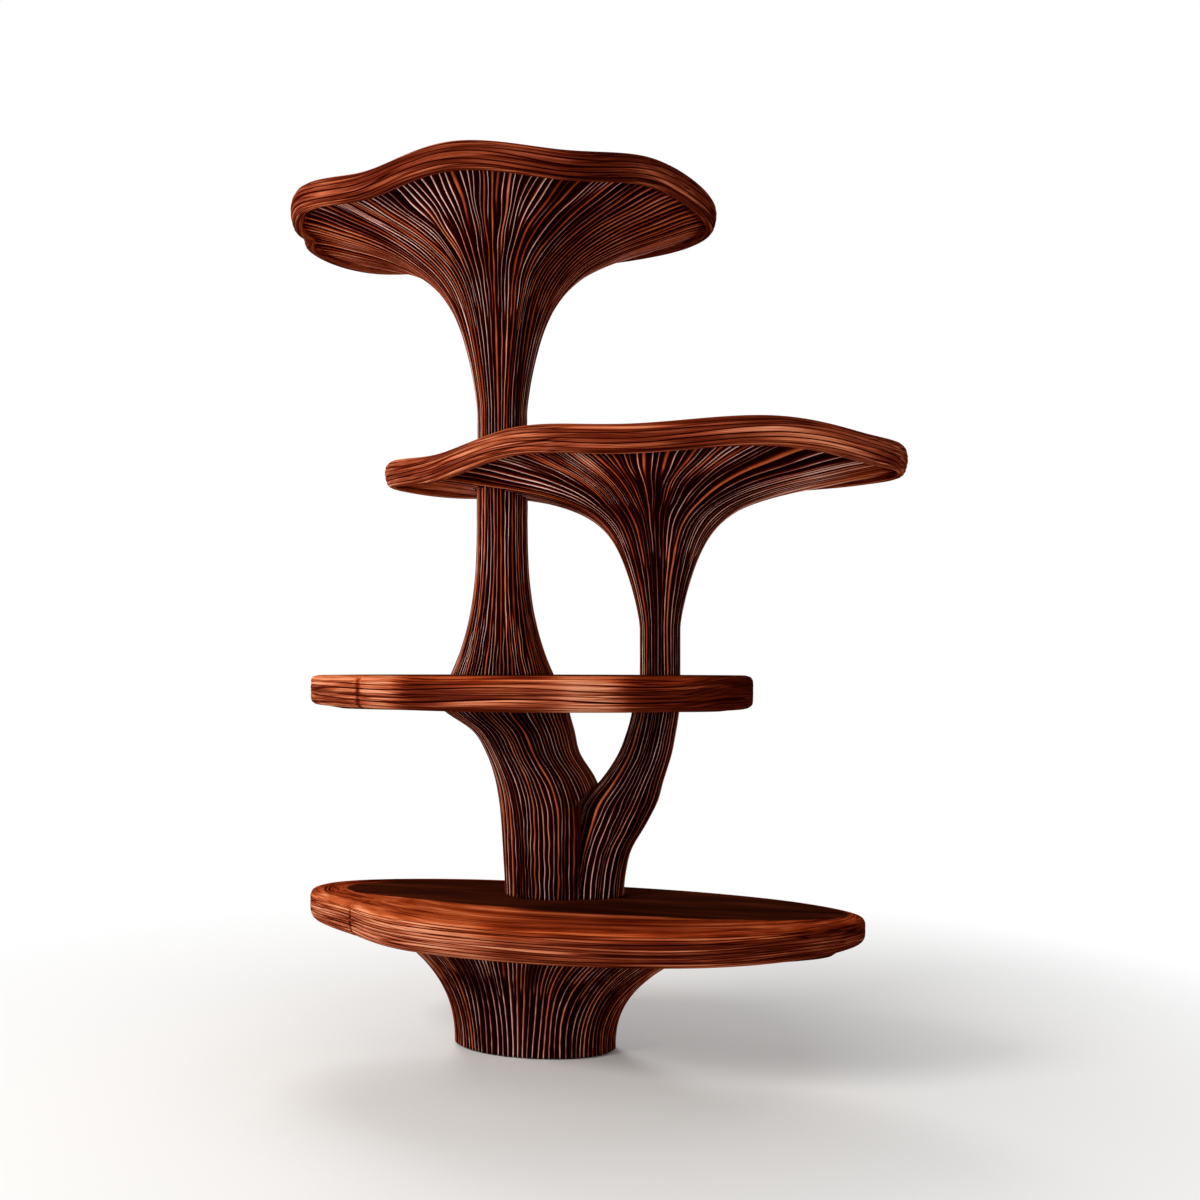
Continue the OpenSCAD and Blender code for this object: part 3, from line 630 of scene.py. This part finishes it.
def mushroom(shape, ribs, levels):
    """One grid of ribs for a stem and the gills of its cap, so that they run on across the
    seat: points, heights, tones, breadths, turns and the seat's row."""
    even = even_shares(lambda u: trumpet(shape, .25, u), TRUMPET_ROWS)
    stem_u = np.append(even[even < SPLIT_SHARE - SEAT_GAP], SPLIT_SHARE)
    cap_u = even[even > SPLIT_SHARE + SEAT_GAP]
    below = np.linspace(shape["base"], shape["start"], STEM_ROWS)[:-1]
    u = np.concatenate([np.zeros(len(below)), stem_u, cap_u])[:, None]
    way = u.copy()
    way[:len(below), 0] = -.3 * np.linspace(1, 0, len(below), endpoint=False)
    seat = len(below) + len(stem_u) - 1

    endward = ribs.endward()
    wing = step(endward, .72, .97) * step(u, .88, .98)
    height, tone, breadth = ribs.heights(way, levels, wing, SPARSE * step(endward, .4, .7))
    height = height * ribs.wear(way)
    height = height + (.62 - height) * step(u, .988, 1)
    shoulder = step(endward, .5, .95) * step(u, .2, .6)
    breadth = np.maximum(breadth, shape["warm"] * shoulder)

    turn = ribs.sway(way, 1 + 1.4 * u, .3 + .15 * u)
    fan = step(u, .35, 1) * FAN
    turn = turn * (1 - fan) + even_angles(turn, *shape["half"]) / TURN * fan
    turn = turn - ARCHING * step(u, .6, 1) * np.sin(2 * TURN * turn)

    p = trumpet(shape, turn, u)
    p[:len(below), :, 2] = below[:, None]
    out = step(u, SPLIT_SHARE, .93)
    depth = RIB_DEPTH * (1 - out) + GILL_DEPTH * out
    fade = 1 - .75 * step(u, .975, 1)
    depth = depth * (.7 + .6 * tone) * (1 - height) * fade
    side = sink(p, depth)
    up = p.copy()
    up[:, :, 2] += depth
    p = side * (1 - out[:, :, None]) + up * out[:, :, None]
    p[:, :, 2] += LIP_DEPTH * step(u, .93, .995)
    p[seat, :, 2] = split_level(shape)
    return p, height, tone, breadth, turn, seat


# Lines along rims and slab edges: the steps of their rows, the heights there where a line
# is carved in full, and how much their widths differ
LINE_STEPS = (0, .16, .5, .85)
LINE_HEIGHTS = (0, .85, 1.0, .85)
LINE_UNEVEN = .35


def carved_lines(turn, count, seed, plain=0):
    """Places, 0 to 1 across a band, heights and tones of carved lines that run along it.
    They fade out where plain nears 1."""
    rng = np.random.default_rng(seed)
    width = 1 + rng.uniform(-LINE_UNEVEN, LINE_UNEVEN, count)
    start = np.concatenate([[0], np.cumsum(width)]) / width.sum()
    own = np.array([drift(turn, 0, seed + 31 * k, fine=9) for k in range(count + 1)])
    offset = .5 * own + 1.1 * drift(turn, 0, seed + 7, fine=6)
    edge_fade = np.sin(np.pi * start)[:, None] ** .5
    start = start[:, None] + offset * edge_fade * .62 / count
    start = np.sort(np.clip(start, 0, 1), axis=0)
    places = []
    heights = []
    tones = []
    for k in range(count):
        carved = np.clip(.85 + .35 * drift(turn, 0, seed + 400 + k, fine=12), .1, 1)
        carved = carved * (1 - plain)
        for s, h in zip(LINE_STEPS, LINE_HEIGHTS):
            places.append(start[k] * (1 - s) + start[k + 1] * s)
            heights.append(1 - (1 - h) * carved)
            tones.append(rng.random() * .2 + .4 + .4 * drift(turn, 0, seed + 900 + k, fine=10))
    return np.array(places), np.array(heights), np.clip(np.array(tones), 0, 1)


def cap_piece(shape, grid, lines, seed):
    """Points and attributes of a cap: seat, gills, lip, carved rim band and flat top."""
    p, height, tone, breadth, turn, seat = grid
    rim_turn = turn[-1]
    places, line_height, line_tone = carved_lines(rim_turn, lines, seed)
    low = level_rows([.02, .035, .05], rim_turn)
    high = level_rows(np.linspace(.75, 1, RIM_TOP_ROWS), rim_turn)
    v = stack(low, .06 + .68 * places**1.1, high)
    level = stack(.75 + 0 * low, line_height, .8 + 0 * high)
    wave = around(shape["wave"], rim_turn)[None, :]
    inset, z = rim_profile(v, shape["lip"], shape["top"], wave)
    x, y = edge(shape, rim_turn[None, :], inset)
    rim = carve(np.stack([x, y, z], axis=2), level, RIM_LINE_DEPTH, len(low), len(high))
    flat = shrunk(rim[-1], (*shape["centre"], shape["top"]),
                  np.linspace(.94, .03, CAP_FLAT_ROWS))
    points = np.concatenate([p[seat:], rim, flat])

    board = np.zeros((CAP_FLAT_ROWS, rim_turn.size))
    heights = stack(height[seat:], level, .55 + board)
    # Rim lines and top are painted paler by light: painted highlight.
    light = shape["light"]
    high_tone = .5 + .3 * drift(rim_turn, 0, seed + 5, fine=5)[None, :] + 0 * high
    tones = stack(tone[seat:], .4 + 0 * low, line_tone + light, high_tone + light,
                  .5 + board)
    turns = stack(turn[seat:], np.tile(rim_turn, (len(v) + len(board), 1)))
    # Orange painted along the lip and towards the top of the rim: painted highlight.
    lip = .55 * (1 - step(v, .05, .16)) + .35 * step(v, .6, .75)
    orange = stack(breadth[seat:], lip, .3 + board)
    return points, heights, tones, orange, turns, len(p) - seat


# Shelf slabs. A groove in the top border has a row at each of these offsets from its
# middle, at these drops. Further rows lie BORDER_STEPS apart. Uncarved wood counts as
# PLAIN high.
UNDER_INSET = 50
UNDER_ROWS = 8
LOW_ROWS = 4
HIGH_ROWS = 9
FLAT_ROWS = 18
SLAB_LINE_DEPTH = 2.2
GROOVE_OFFSETS = (-3.5, -1.6, 0, 1.6)
GROOVE_DROPS = (0, .15, 1.5, .15)
BORDER_STEPS = range(8, 17)
PLAIN = .8


def slab_profile(shape, v, turn):
    """Inset and height round the edge of a slab: v = 0 underneath, 1 on the flat top."""
    low, high = shape["round"]
    t = shape["thick"]
    inset = along([low + 4, low * .75, low * .3, low * .06, 0, 0, 0, high * .08, high * .35,
                   high], v)
    rise = along([0, low * .03, low * .3, low * .72, t * .42, t * .55, t - high,
                  t - high * .6, t - high * .22, t], v)
    return inset, shape["z"] + rise + np.maximum(around(shape["lift"], turn), 0) * (1 - rise / t)


def slab_border(shape, grooves):
    """Insets of the rows on a slab's top border, and how far each drops into a groove."""
    insets = [shape["round"][1] + 3]
    drops = [0]
    for groove in grooves:
        insets += [groove + offset for offset in GROOVE_OFFSETS]
        drops += GROOVE_DROPS
    for further in BORDER_STEPS:
        insets.append(insets[-1] + further)
        drops.append(0)
    return np.array(insets), np.array(drops)


def slab_piece(shape, columns, lines, seed, grooves, plain_end):
    """Points and attributes of a shelf slab, and the row where its top starts. The lines
    fade out at its right end, over plain_end turns."""
    rng = np.random.default_rng(seed)
    start = rng.uniform(0, .1)
    turn = even_angles(np.arange(columns) / columns + start, *shape["half"]) / TURN
    from_end = np.abs(np.mod(turn + .5, 1) - .5)
    plain = (1 - step(from_end, .6 * plain_end, plain_end)) if plain_end else 0 * turn
    places, line_height, line_tone = carved_lines(turn, lines, seed, plain)
    joint = bumps(turn, [(at, 1.1 / columns, 1) for at in shape["joints"]])
    line_height = line_height * (1 - .4 * joint)
    low = level_rows(np.linspace(0, .08, LOW_ROWS), turn)
    high = level_rows(np.linspace(.84, 1, HIGH_ROWS), turn)
    v = stack(low, .1 + .72 * places, high)
    level = stack(PLAIN + 0 * low, line_height, PLAIN + 0 * high)
    inset, z = slab_profile(shape, v, turn)
    x, y = edge(shape, turn[None, :], inset)
    side = np.stack(np.broadcast_arrays(x, y, z), axis=2)
    side = carve(side, level, SLAB_LINE_DEPTH, len(low), len(high))

    top_z = shape["z"] + shape["thick"]
    border, drops = slab_border(shape, grooves)
    waver = 1.6 * drift(turn, 0, seed + 3, fine=11)
    rows = [edge_ring(shape, turn, inset_at + waver * (inset_at > border[0]), top_z - drop)
            for inset_at, drop in zip(border, drops)]
    flat = shrunk(rows[-1], (*shape["centre"], top_z), np.linspace(.95, .03, FLAT_ROWS))
    under = shrunk(edge_ring(shape, turn, UNDER_INSET, shape["z"]),
                   (*shape["centre"], shape["z"]), np.linspace(.1, 1, UNDER_ROWS))
    points = np.concatenate([under, side, np.array(rows), flat])

    below = np.zeros((UNDER_ROWS, columns))
    above = np.zeros((FLAT_ROWS, columns))
    beside = np.zeros((len(border), columns))
    top_height = PLAIN * (1 - level_rows(drops, turn) / max(GROOVE_DROPS))
    # Painted light along the edge: pale zones are painted highlight and dull zones painted shade.
    # The plain right end is painted darker, partly as painted shade and partly as end grain. The
    # top border is painted paler in the pale zones, and the edge is less orange in both kinds of
    # zone.
    pale = bumps(turn, shape["pale"], 3)
    dull = bumps(turn, shape["dull"], 3)
    painted_edge_light_and_end_grain = pale - dull - .55 * plain
    roll_tone = .5 + .25 * drift(turn, 0, seed + 5, fine=6)[None, :] + 0 * high
    top_tone = .5 + .6 * pale
    side_orange = .75 * step(v, .55, .8) * (1 - plain) - .35 * pale - .8 * dull
    past = border[:, None] - around(shape["border"], turn)[None, :]
    way = run_length(points)
    values = dict(
        crest=stack(.5 + below, level, top_height, PLAIN + above),
        tone=stack(.5 + below, .5 + 0 * low, line_tone + painted_edge_light_and_end_grain, roll_tone + painted_edge_light_and_end_grain,
                   top_tone + beside, top_tone + above),
        orange=stack(below, side_orange, .75 + beside, above),
        band=1,
        flat=stack(below + 1, 0 * v, step(past, -16, 16), above + 1),
        grain=ring_grain(turn, way - way[UNDER_ROWS]))
    return points, values, len(below) + len(v)


# Shader helpers

def nodes_for(name):
    """A new material, its node tree and its shader."""
    material = bpy.data.materials.new(name)
    material.use_nodes = True
    tree = material.node_tree
    return material, tree, tree.nodes["Principled BSDF"]


def add(tree, kind, **settings):
    """A new node with its settings."""
    node = tree.nodes.new(kind)
    for key, value in settings.items():
        setattr(node, key, value)
    return node


def feed(socket, value):
    """Links an input to another node, or sets it to a constant."""
    if isinstance(value, bpy.types.NodeSocket):
        socket.id_data.links.new(value, socket)
    else:
        socket.default_value = value


def set_inputs(node, **values):
    """Feeds inputs of a node; an underscore in a name stands for a blank."""
    for key, value in values.items():
        feed(node.inputs[key.replace("_", " ")], value)


def attribute(tree, name, vector=False):
    """A vertex attribute, as a number or a vector."""
    node = add(tree, "ShaderNodeAttribute", attribute_name=name)
    return node.outputs["Vector" if vector else "Fac"]


def object_place(tree):
    """The place on the object, in metres."""
    return add(tree, "ShaderNodeTexCoord").outputs["Object"]


def noise(tree, vector, scale, detail, rough, squash=(1, 1, 1)):
    """Noise over a vector that is first scaled along its axes."""
    mapping = add(tree, "ShaderNodeMapping")
    set_inputs(mapping, Vector=vector, Scale=squash)
    node = add(tree, "ShaderNodeTexNoise")
    set_inputs(node, Vector=mapping.outputs["Vector"], Scale=scale, Detail=detail,
               Roughness=rough)
    return node.outputs["Fac"]


def ramp(tree, value, stops):
    """A colour ramp with stops of (place, (red, green, blue))."""
    node = add(tree, "ShaderNodeValToRGB")
    band = node.color_ramp
    while len(band.elements) < len(stops):
        band.elements.new(.5)
    for element, (place, colour) in zip(band.elements, stops):
        element.position = place
        element.color = (*colour, 1)
    set_inputs(node, Fac=value)
    return node.outputs["Color"]


def math_node(tree, operation, a, b=0):
    """A sum, product and so on of two sockets or numbers."""
    node = add(tree, "ShaderNodeMath", operation=operation)
    feed(node.inputs[0], a)
    feed(node.inputs[1], b)
    return node.outputs["Value"]


def total(tree, first, *others):
    """The sum of several sockets."""
    for other in others:
        first = math_node(tree, "ADD", first, other)
    return first


def product(tree, a, b):
    """The product of two sockets, or of a socket and a number."""
    return math_node(tree, "MULTIPLY", a, b)


def scaled(tree, value, low, high, to_low, to_high):
    """A value carried over from one range to another, and kept inside it."""
    node = add(tree, "ShaderNodeMapRange")
    set_inputs(node, Value=value, From_Min=low, From_Max=high, To_Min=to_low,
               To_Max=to_high)
    return node.outputs["Result"]


def mixed(tree, share, a, b):
    """A mix of two colours."""
    node = add(tree, "ShaderNodeMix", data_type="RGBA")
    set_inputs(node, Factor=share, A=a, B=b)
    return node.outputs["Result"]


def bumped(tree, shader, height, strength, distance):
    """Fine relief on top of the mesh, its depth given in metres."""
    bump = add(tree, "ShaderNodeBump")
    set_inputs(bump, Strength=strength, Distance=distance, Height=height)
    set_inputs(shader, Normal=bump.outputs["Normal"])


# Materials. The ramps run from groove to crest, in linear light. Their near-black groove ends
# are partly painted shade and partly dark stain; their pale, pinkish crest ends are painted
# highlight, a painted reflection of white light on the ridges.

SALMON = [(0, (.0062, .0003, .0003)), (.42, (.017, .0010, .0006)), (.60, (.060, .0045, .0016)),
          (.71, (.16, .021, .010)), (.80, (.53, .24, .18)), (.91, (1, .72, .64))]
WARM = [(0, (.0072, .0003, .0002)), (.34, (.022, .0016, .0006)), (.52, (.10, .009, .0022)),
        (.64, (.30, .038, .008)), (.80, (.52, .12, .040)), (.95, (.78, .33, .19))]
BROWN = [(0, (.008, .0005, .0002)), (.28, (.030, .0020, .0006)), (.45, (.09, .010, .003)),
         (.58, (.15, .022, .008)), (.74, (.39, .090, .038)), (.92, (.74, .29, .16))]
GLOW = [(0, (.010, .0005, .0002)), (.26, (.045, .0032, .0007)), (.42, (.15, .014, .0025)),
        (.58, (.34, .042, .008)), (.78, (.58, .12, .032)), (.95, (.80, .30, .14))]
BOARD = [(.3, (.014, .0024, .0009)), (.5, (.031, .0054, .0018)), (.7, (.075, .012, .004))]
PLUG = [(.2, (.028, .006, .0026)), (.6, (.075, .018, .008)), (.95, (.14, .042, .020))]
BEECH = [(.3, (.42, .27, .14)), (.55, (.58, .40, .22)), (.8, (.68, .50, .31))]
ZINC = [(.3, (.42, .43, .44)), (.7, (.60, .61, .62))]
WOOL = [(.1, (.006, .006, .006)), (.3, (.016, .014, .013)), (.5, (.04, .036, .033))]


def wood_fields(tree):
    """What carved wood is mixed from: vertex attributes and noises."""
    grain = attribute(tree, "grain", vector=True)
    tone = attribute(tree, "tone")
    place = object_place(tree)
    return SimpleNamespace(
        grain=grain, tone=tone, place=place,
        crest=attribute(tree, "crest"),
        warmth=attribute(tree, "orange"),
        streak=noise(tree, grain, 70, 5, .62, (.9, 1, .12)),
        long_streak=noise(tree, grain, 70, 4, .6, (.06, .3, .03)),
        fine=noise(tree, grain, 260, 3, .6, (1, 1, .1)),
        patch=scaled(tree, noise(tree, place, 4.5, 3, .5), .3, .7, -.1, .1),
        hue=total(tree, noise(tree, grain, 22, 3, .5, (1, 1, .25)),
                  scaled(tree, tone, 0, 1, -.2, .2)))


def rib_colour(tree, wood, orange, uneven):
    """Ribs and gills: dark grooves, partly painted shade and partly dark stain, and thin salmon
    crests that are painted highlight, with some orange ribs.
    """
    # Grooves painted dark as painted shade and crests pale as painted highlight; patch, streak
    # and tone add the wood's own variation.
    painted_crest_light_and_grain = total(tree, wood.crest, product(tree, wood.patch, .6),
                 scaled(tree, wood.streak, .3, .7, -.12, .12),
                 scaled(tree, wood.tone, 0, 1, -uneven, .06))
    deeper = math_node(tree, "SUBTRACT", painted_crest_light_and_grain, product(tree, wood.warmth, .16))
    redder = scaled(tree, wood.hue, .66 - .3 * orange, .82 - .3 * orange, 0, 1)
    return mixed(tree, total(tree, redder, wood.warmth), ramp(tree, painted_crest_light_and_grain, SALMON),
                 ramp(tree, deeper, WARM))


def thin_lines(tree, grain, on_line, between):
    """Thin lines that run with the grain, part and join: contours of a long, slow noise. They are
    painted dark, partly as the shade of fine carved grooves and partly as dark stain.
    """
    field = noise(tree, grain, 8, 2, .5, (1, .3, .1))
    wave = math_node(tree, "SINE", product(tree, field, 34))
    return scaled(tree, math_node(tree, "ABSOLUTE", wave), .05, .4, on_line, between)


def band_colour(tree, wood):
    """Rims and slab edges: brown and orange, with swirls and thin dark lines. Grooves are painted
    darker, partly as painted shade, crests paler as painted highlight, and some of the orange
    is painted highlight too.
    """
    swirl = product(tree, wood.warmth, scaled(tree, wood.long_streak, .3, .7, -.36, .3))
    # Crests painted paler: painted highlight.
    painted_crest_highlight = product(tree, wood.crest, scaled(tree, wood.tone, .5, 1.7, 0, .56))
    lined = total(tree, scaled(tree, wood.crest, .1, .8, -.17, .44), swirl, wood.patch, painted_crest_highlight,
                  scaled(tree, wood.tone, 0, .5, -.08, .1),
                  scaled(tree, wood.streak, .3, .7, -.15, .15),
                  thin_lines(tree, wood.grain, -.26, .03))
    share = total(tree, wood.warmth, scaled(tree, wood.hue, .45, .85, -.1, .5))
    return mixed(tree, share, ramp(tree, lined, BROWN), ramp(tree, lined, GLOW))


def board_colour(tree, wood):
    """The flat tops: dull dark boards with long figure."""
    figure = total(tree, noise(tree, wood.place, 9, 6, .6, (.35, 3.2, 3.2)),
                   scaled(tree, wood.tone, .5, .8, 0, .1))
    return ramp(tree, figure, BOARD)


def carved_wood(name, orange, gloss, uneven=.2):
    """Stained carved wood: ribs, carved bands or flat tops, as the vertex attributes say.
    A higher uneven leaves some crests darker than others."""
    material, tree, shader = nodes_for(name)
    wood = wood_fields(tree)
    carved = mixed(tree, attribute(tree, "band"), rib_colour(tree, wood, orange, uneven),
                   band_colour(tree, wood))
    patchy = scaled(tree, noise(tree, wood.grain, 16, 4, .6, (.25, 1, .12)), .3, .7, -.4, .4)
    inner = scaled(tree, total(tree, attribute(tree, "flat"), patchy), .35, .65, 0, 1)
    colour = mixed(tree, inner, carved, board_colour(tree, wood))
    dull = total(tree, scaled(tree, wood.crest, 0, 1, .85, .36),
                 scaled(tree, wood.fine, .3, .7, -.07, .07))
    set_inputs(shader, Base_Color=colour, Roughness=dull, Specular_IOR_Level=gloss)
    height = total(tree, product(tree, wood.streak, .7), product(tree, wood.fine, .5))
    bumped(tree, shader, height, .5, .0007)
    return material


def plug_wood():
    """End-grain plugs: rings and fine pores."""
    material, tree, shader = nodes_for("plug_wood")
    place = object_place(tree)
    rings = add(tree, "ShaderNodeTexWave", wave_type="RINGS", rings_direction="Z")
    set_inputs(rings, Vector=place, Scale=60, Distortion=3, Detail=3)
    pores = noise(tree, place, 900, 3, .6)
    grain = total(tree, product(tree, rings.outputs["Fac"], .6), product(tree, pores, .5))
    set_inputs(shader, Base_Color=ramp(tree, grain, PLUG), Roughness=.8,
               Specular_IOR_Level=0)
    bumped(tree, shader, pores, .3, .0004)
    return material


def dowel_wood():
    """Pale turned beech with short flecks along the dowel."""
    material, tree, shader = nodes_for("dowel_wood")
    flecks = noise(tree, object_place(tree), 420, 4, .6, (1, 1, .12))
    set_inputs(shader, Base_Color=ramp(tree, flecks, BEECH), Roughness=.55)
    bumped(tree, shader, flecks, .3, .0004)
    return material


def zinc_steel():
    """Zinc-plated steel with a faint spangle and turning marks."""
    material, tree, shader = nodes_for("steel")
    place = object_place(tree)
    spangle = noise(tree, place, 240, 3, .5)
    marks = noise(tree, place, 60, 4, .6, (1, 1, 22))
    set_inputs(shader, Base_Color=ramp(tree, spangle, ZINC), Metallic=1,
               Roughness=scaled(tree, marks, .2, .8, .24, .42))
    bumped(tree, shader, marks, .15, .0003)
    return material


def felt():
    """Dark wool felt: matted fibres and a dull fuzz."""
    material, tree, shader = nodes_for("felt")
    place = object_place(tree)
    fibres = noise(tree, place, 900, 6, .75)
    clumps = noise(tree, place, 90, 3, .5)
    colour = ramp(tree, product(tree, fibres, clumps), WOOL)
    set_inputs(shader, Base_Color=colour, Roughness=.95, Sheen_Weight=.3)
    bumped(tree, shader, fibres, .8, .001)
    return material


# The pieces

CAP_WOOD = carved_wood("cap_wood", orange=.1, gloss=0, uneven=.14)
STEM_WOOD = carved_wood("carved_stem", orange=.2, gloss=.008)
TRUNK_WOOD = carved_wood("carved_trunk", orange=.14, gloss=.008)
FOOT_WOOD = carved_wood("carved_foot", orange=.4, gloss=.008)
SHELF_WOOD = carved_wood("shelf_wood", orange=.55, gloss=0)
SHELF_TOP = carved_wood("shelf_top", orange=.55, gloss=0)


def carved_column(name, material, ring, ribs, rows, levels, deep, kink, side=0,
                  upside=False):
    """A ribbed column, cut at the seam if it has a side. Upside counts the ribs' levels
    from its top."""
    share = np.linspace(0, 1, rows)[:, None]
    height, tone, breadth = ribs.heights(1 - share if upside else share, levels)
    height = height * ribs.wear(share)
    turn = ribs.sway(share, 1.2, kink)
    breadth = np.maximum(breadth, .8 * step(ribs.endward(), .6, .95))
    points = sink(ring(turn, share), deep * (.7 + .6 * tone) * (1 - height))
    if side:
        points = cut_at_seam(points, side)
    values = dict(crest=height, tone=tone, orange=breadth, band=0, flat=0,
                  grain=round_grain(turn, run_length(points)))
    grid_mesh(name, points, values, material)


def mushroom_pieces(shape, stem_name, cap_name, ribs, levels, lines):
    """The stem and cap of one mushroom."""
    grid = mushroom(shape, ribs, levels)
    points, height, tone, breadth, turn, seat = grid
    run = run_length(points)
    low = slice(0, seat + 1)
    values = dict(crest=height[low], tone=tone[low], orange=breadth[low], band=0, flat=0,
                  grain=round_grain(turn[low], run[low]))
    grid_mesh(stem_name, points[low], values, STEM_WOOD)
    cap, heights, tones, orange, turns, gill_rows = cap_piece(shape, grid, lines, ribs.seed)
    way = run_length(cap)
    band = np.zeros((len(cap), 1))
    band[gill_rows - 1:] = 1
    flat = np.zeros((len(cap), 1))
    flat[-CAP_BOARD_ROWS:] = np.minimum(np.linspace(0, 4, CAP_BOARD_ROWS), 1)[:, None]
    grain = (round_grain(turns, run[seat] + way) * (1 - band[:, :, None])
             + ring_grain(turns, way - way[gill_rows]) * band[:, :, None])
    values = dict(crest=heights, tone=tones, orange=orange, band=band, flat=flat,
                  grain=grain)
    grid_mesh(cap_name, cap, values, CAP_WOOD)


def shelf(name, shape, columns, lines, seed, grooves=(), plain_end=0):
    """A shelf slab whose top has a wood of its own."""
    points, values, top_row = slab_piece(shape, columns, lines, seed, grooves, plain_end)
    grid_mesh(name, points, values, SHELF_WOOD, SHELF_TOP, top_row)


carved_column("foot", FOOT_WOOD, foot_ring, Ribs(196, 11), rows=48,
              levels=[(2, 0), (1, .58)], deep=3.2, kink=.07)
carved_column("main_trunk", TRUNK_WOOD, main_trunk_ring, Ribs(152, 23),
              rows=64, levels=[(2, 0)], deep=3.0, kink=.34, side=-1)
carved_column("side_trunk", TRUNK_WOOD, side_trunk_ring, Ribs(88, 37),
              rows=64, levels=[(2, 0)], deep=2.8, kink=.34, side=1)
carved_column("main_stem", STEM_WOOD, main_stem_ring, Ribs(176, 41),
              rows=66, levels=[(4, 0), (2, .78)], deep=2.8, kink=.5, upside=True)
mushroom_pieces(TOP_CAP, "upper_stem", "top_cap", Ribs(208, 53),
                levels=[(4, 0), (2, .44), (1, .76)], lines=11)
mushroom_pieces(SIDE_CAP, "side_stem", "side_cap", Ribs(240, 67),
                levels=[(6, 0), (3, .44), (1, .76)], lines=11)
shelf("lower_shelf", LOWER, 560, lines=12, seed=71, grooves=(31, 38))
shelf("middle_shelf", MIDDLE, 500, lines=10, seed=73, plain_end=.13)

# A finish for each kind of carried-over node, found by a word in its name
FINISHES = [("plug", plug_wood()), ("sole", felt()), ("dowel", dowel_wood())]
STEEL = zinc_steel()
FINISHES += [(word, STEEL) for word in ("rod", "nut", "washer", "screw")]
for node_name, node_object in frame["nodes"].items():
    for word, finish in FINISHES:
        if word in node_name:
            for material_slot in node_object.material_slots:
                material_slot.material = finish


# Floor, light and camera, in metres

FLOOR_REACH = 12
FADE_START = .45
FADE_END = 1.5
MIDDLE_OF_PART = (.08, 0, .75)

# The camera looks level over AIM, from a little to the right of the front
AIM = (.106, .049)
DISTANCE = 2.30
CAMERA_HEIGHT = .655
CAMERA_TURN = math.radians(15)


def seen_by(tree):
    """1 for camera, mirror and glass rays, 0 for the rays that light things."""
    path = add(tree, "ShaderNodeLightPath")
    either = math_node(tree, "MAXIMUM", path.outputs["Is Camera Ray"],
                       path.outputs["Is Glossy Ray"])
    return math_node(tree, "MAXIMUM", either, path.outputs["Is Transmission Ray"])


def mixed_surface(tree, share, first, second, output):
    """Mixes two shaders into an output node."""
    either = add(tree, "ShaderNodeMixShader")
    set_inputs(either, Fac=share)
    feed(either.inputs[1], first.outputs[0])
    feed(either.inputs[2], second.outputs[0])
    set_inputs(tree.nodes[output], Surface=either.outputs["Shader"])


def floor():
    """A wide pale floor that fades into the white backdrop."""
    mesh = bpy.data.meshes.new("floor")
    corners = [(-1, -1), (1, -1), (1, 1), (-1, 1)]
    mesh.from_pydata([(x * FLOOR_REACH, y * FLOOR_REACH, 0) for x, y in corners], [],
                     [(0, 1, 2, 3)])
    stage = placed("floor", mesh)
    material, tree, shader = nodes_for("floor")
    set_inputs(shader, Base_Color=(.86, .855, .85, 1), Roughness=.9)
    white = add(tree, "ShaderNodeEmission")
    far = add(tree, "ShaderNodeVectorMath", operation="LENGTH")
    feed(far.inputs[0], object_place(tree))
    fade = scaled(tree, far.outputs["Value"], FADE_START, FADE_END, 0, 1)
    share = product(tree, fade, seen_by(tree))
    mixed_surface(tree, share, shader, white, "Material Output")
    mesh.materials.append(material)


def lamp(name, place, size, power, colour=(1, 1, 1)):
    """A round soft lamp that shines at the middle of the part."""
    data = bpy.data.lights.new(name, "AREA")
    data.shape = "DISK"
    data.size = size
    data.energy = power
    data.color = colour
    light = placed(name, data)
    light.location = place
    direction = Vector(MIDDLE_OF_PART) - Vector(place)
    light.rotation_euler = direction.to_track_quat("-Z", "Y").to_euler()


def world(strength):
    """Even light all round, white where the camera sees it."""
    scene_world = bpy.data.worlds.new("studio")
    scene_world.use_nodes = True
    tree = scene_world.node_tree
    plain = tree.nodes["Background"]
    set_inputs(plain, Color=(1, .98, .96, 1), Strength=strength)
    white = add(tree, "ShaderNodeBackground")
    set_inputs(white, Color=(1, 1, 1, 1))
    mixed_surface(tree, seen_by(tree), plain, white, "World Output")
    bpy.context.scene.world = scene_world


def camera():
    """The view of the photograph."""
    data = bpy.data.cameras.new("camera")
    data.sensor_width = 36
    data.lens = 39.54
    data.shift_y = 65 / 1200
    view = placed("camera", data)
    view.location = (AIM[0] + DISTANCE * math.sin(CAMERA_TURN),
                     AIM[1] - DISTANCE * math.cos(CAMERA_TURN), CAMERA_HEIGHT)
    view.rotation_euler = (math.radians(90), 0, CAMERA_TURN)
    bpy.context.scene.camera = view


floor()
world(.32)
lamp("key", (-1.9, -2.3, 2.1), 1.3, 90, (1, .97, .93))
lamp("fill", (2.4, -2.0, 1.2), 1.6, 11, (1, .97, .95))
lamp("back", (-1.5, 2.4, 2.2), 1.4, 45)
camera()
bpy.context.scene.view_settings.view_transform = "Standard"
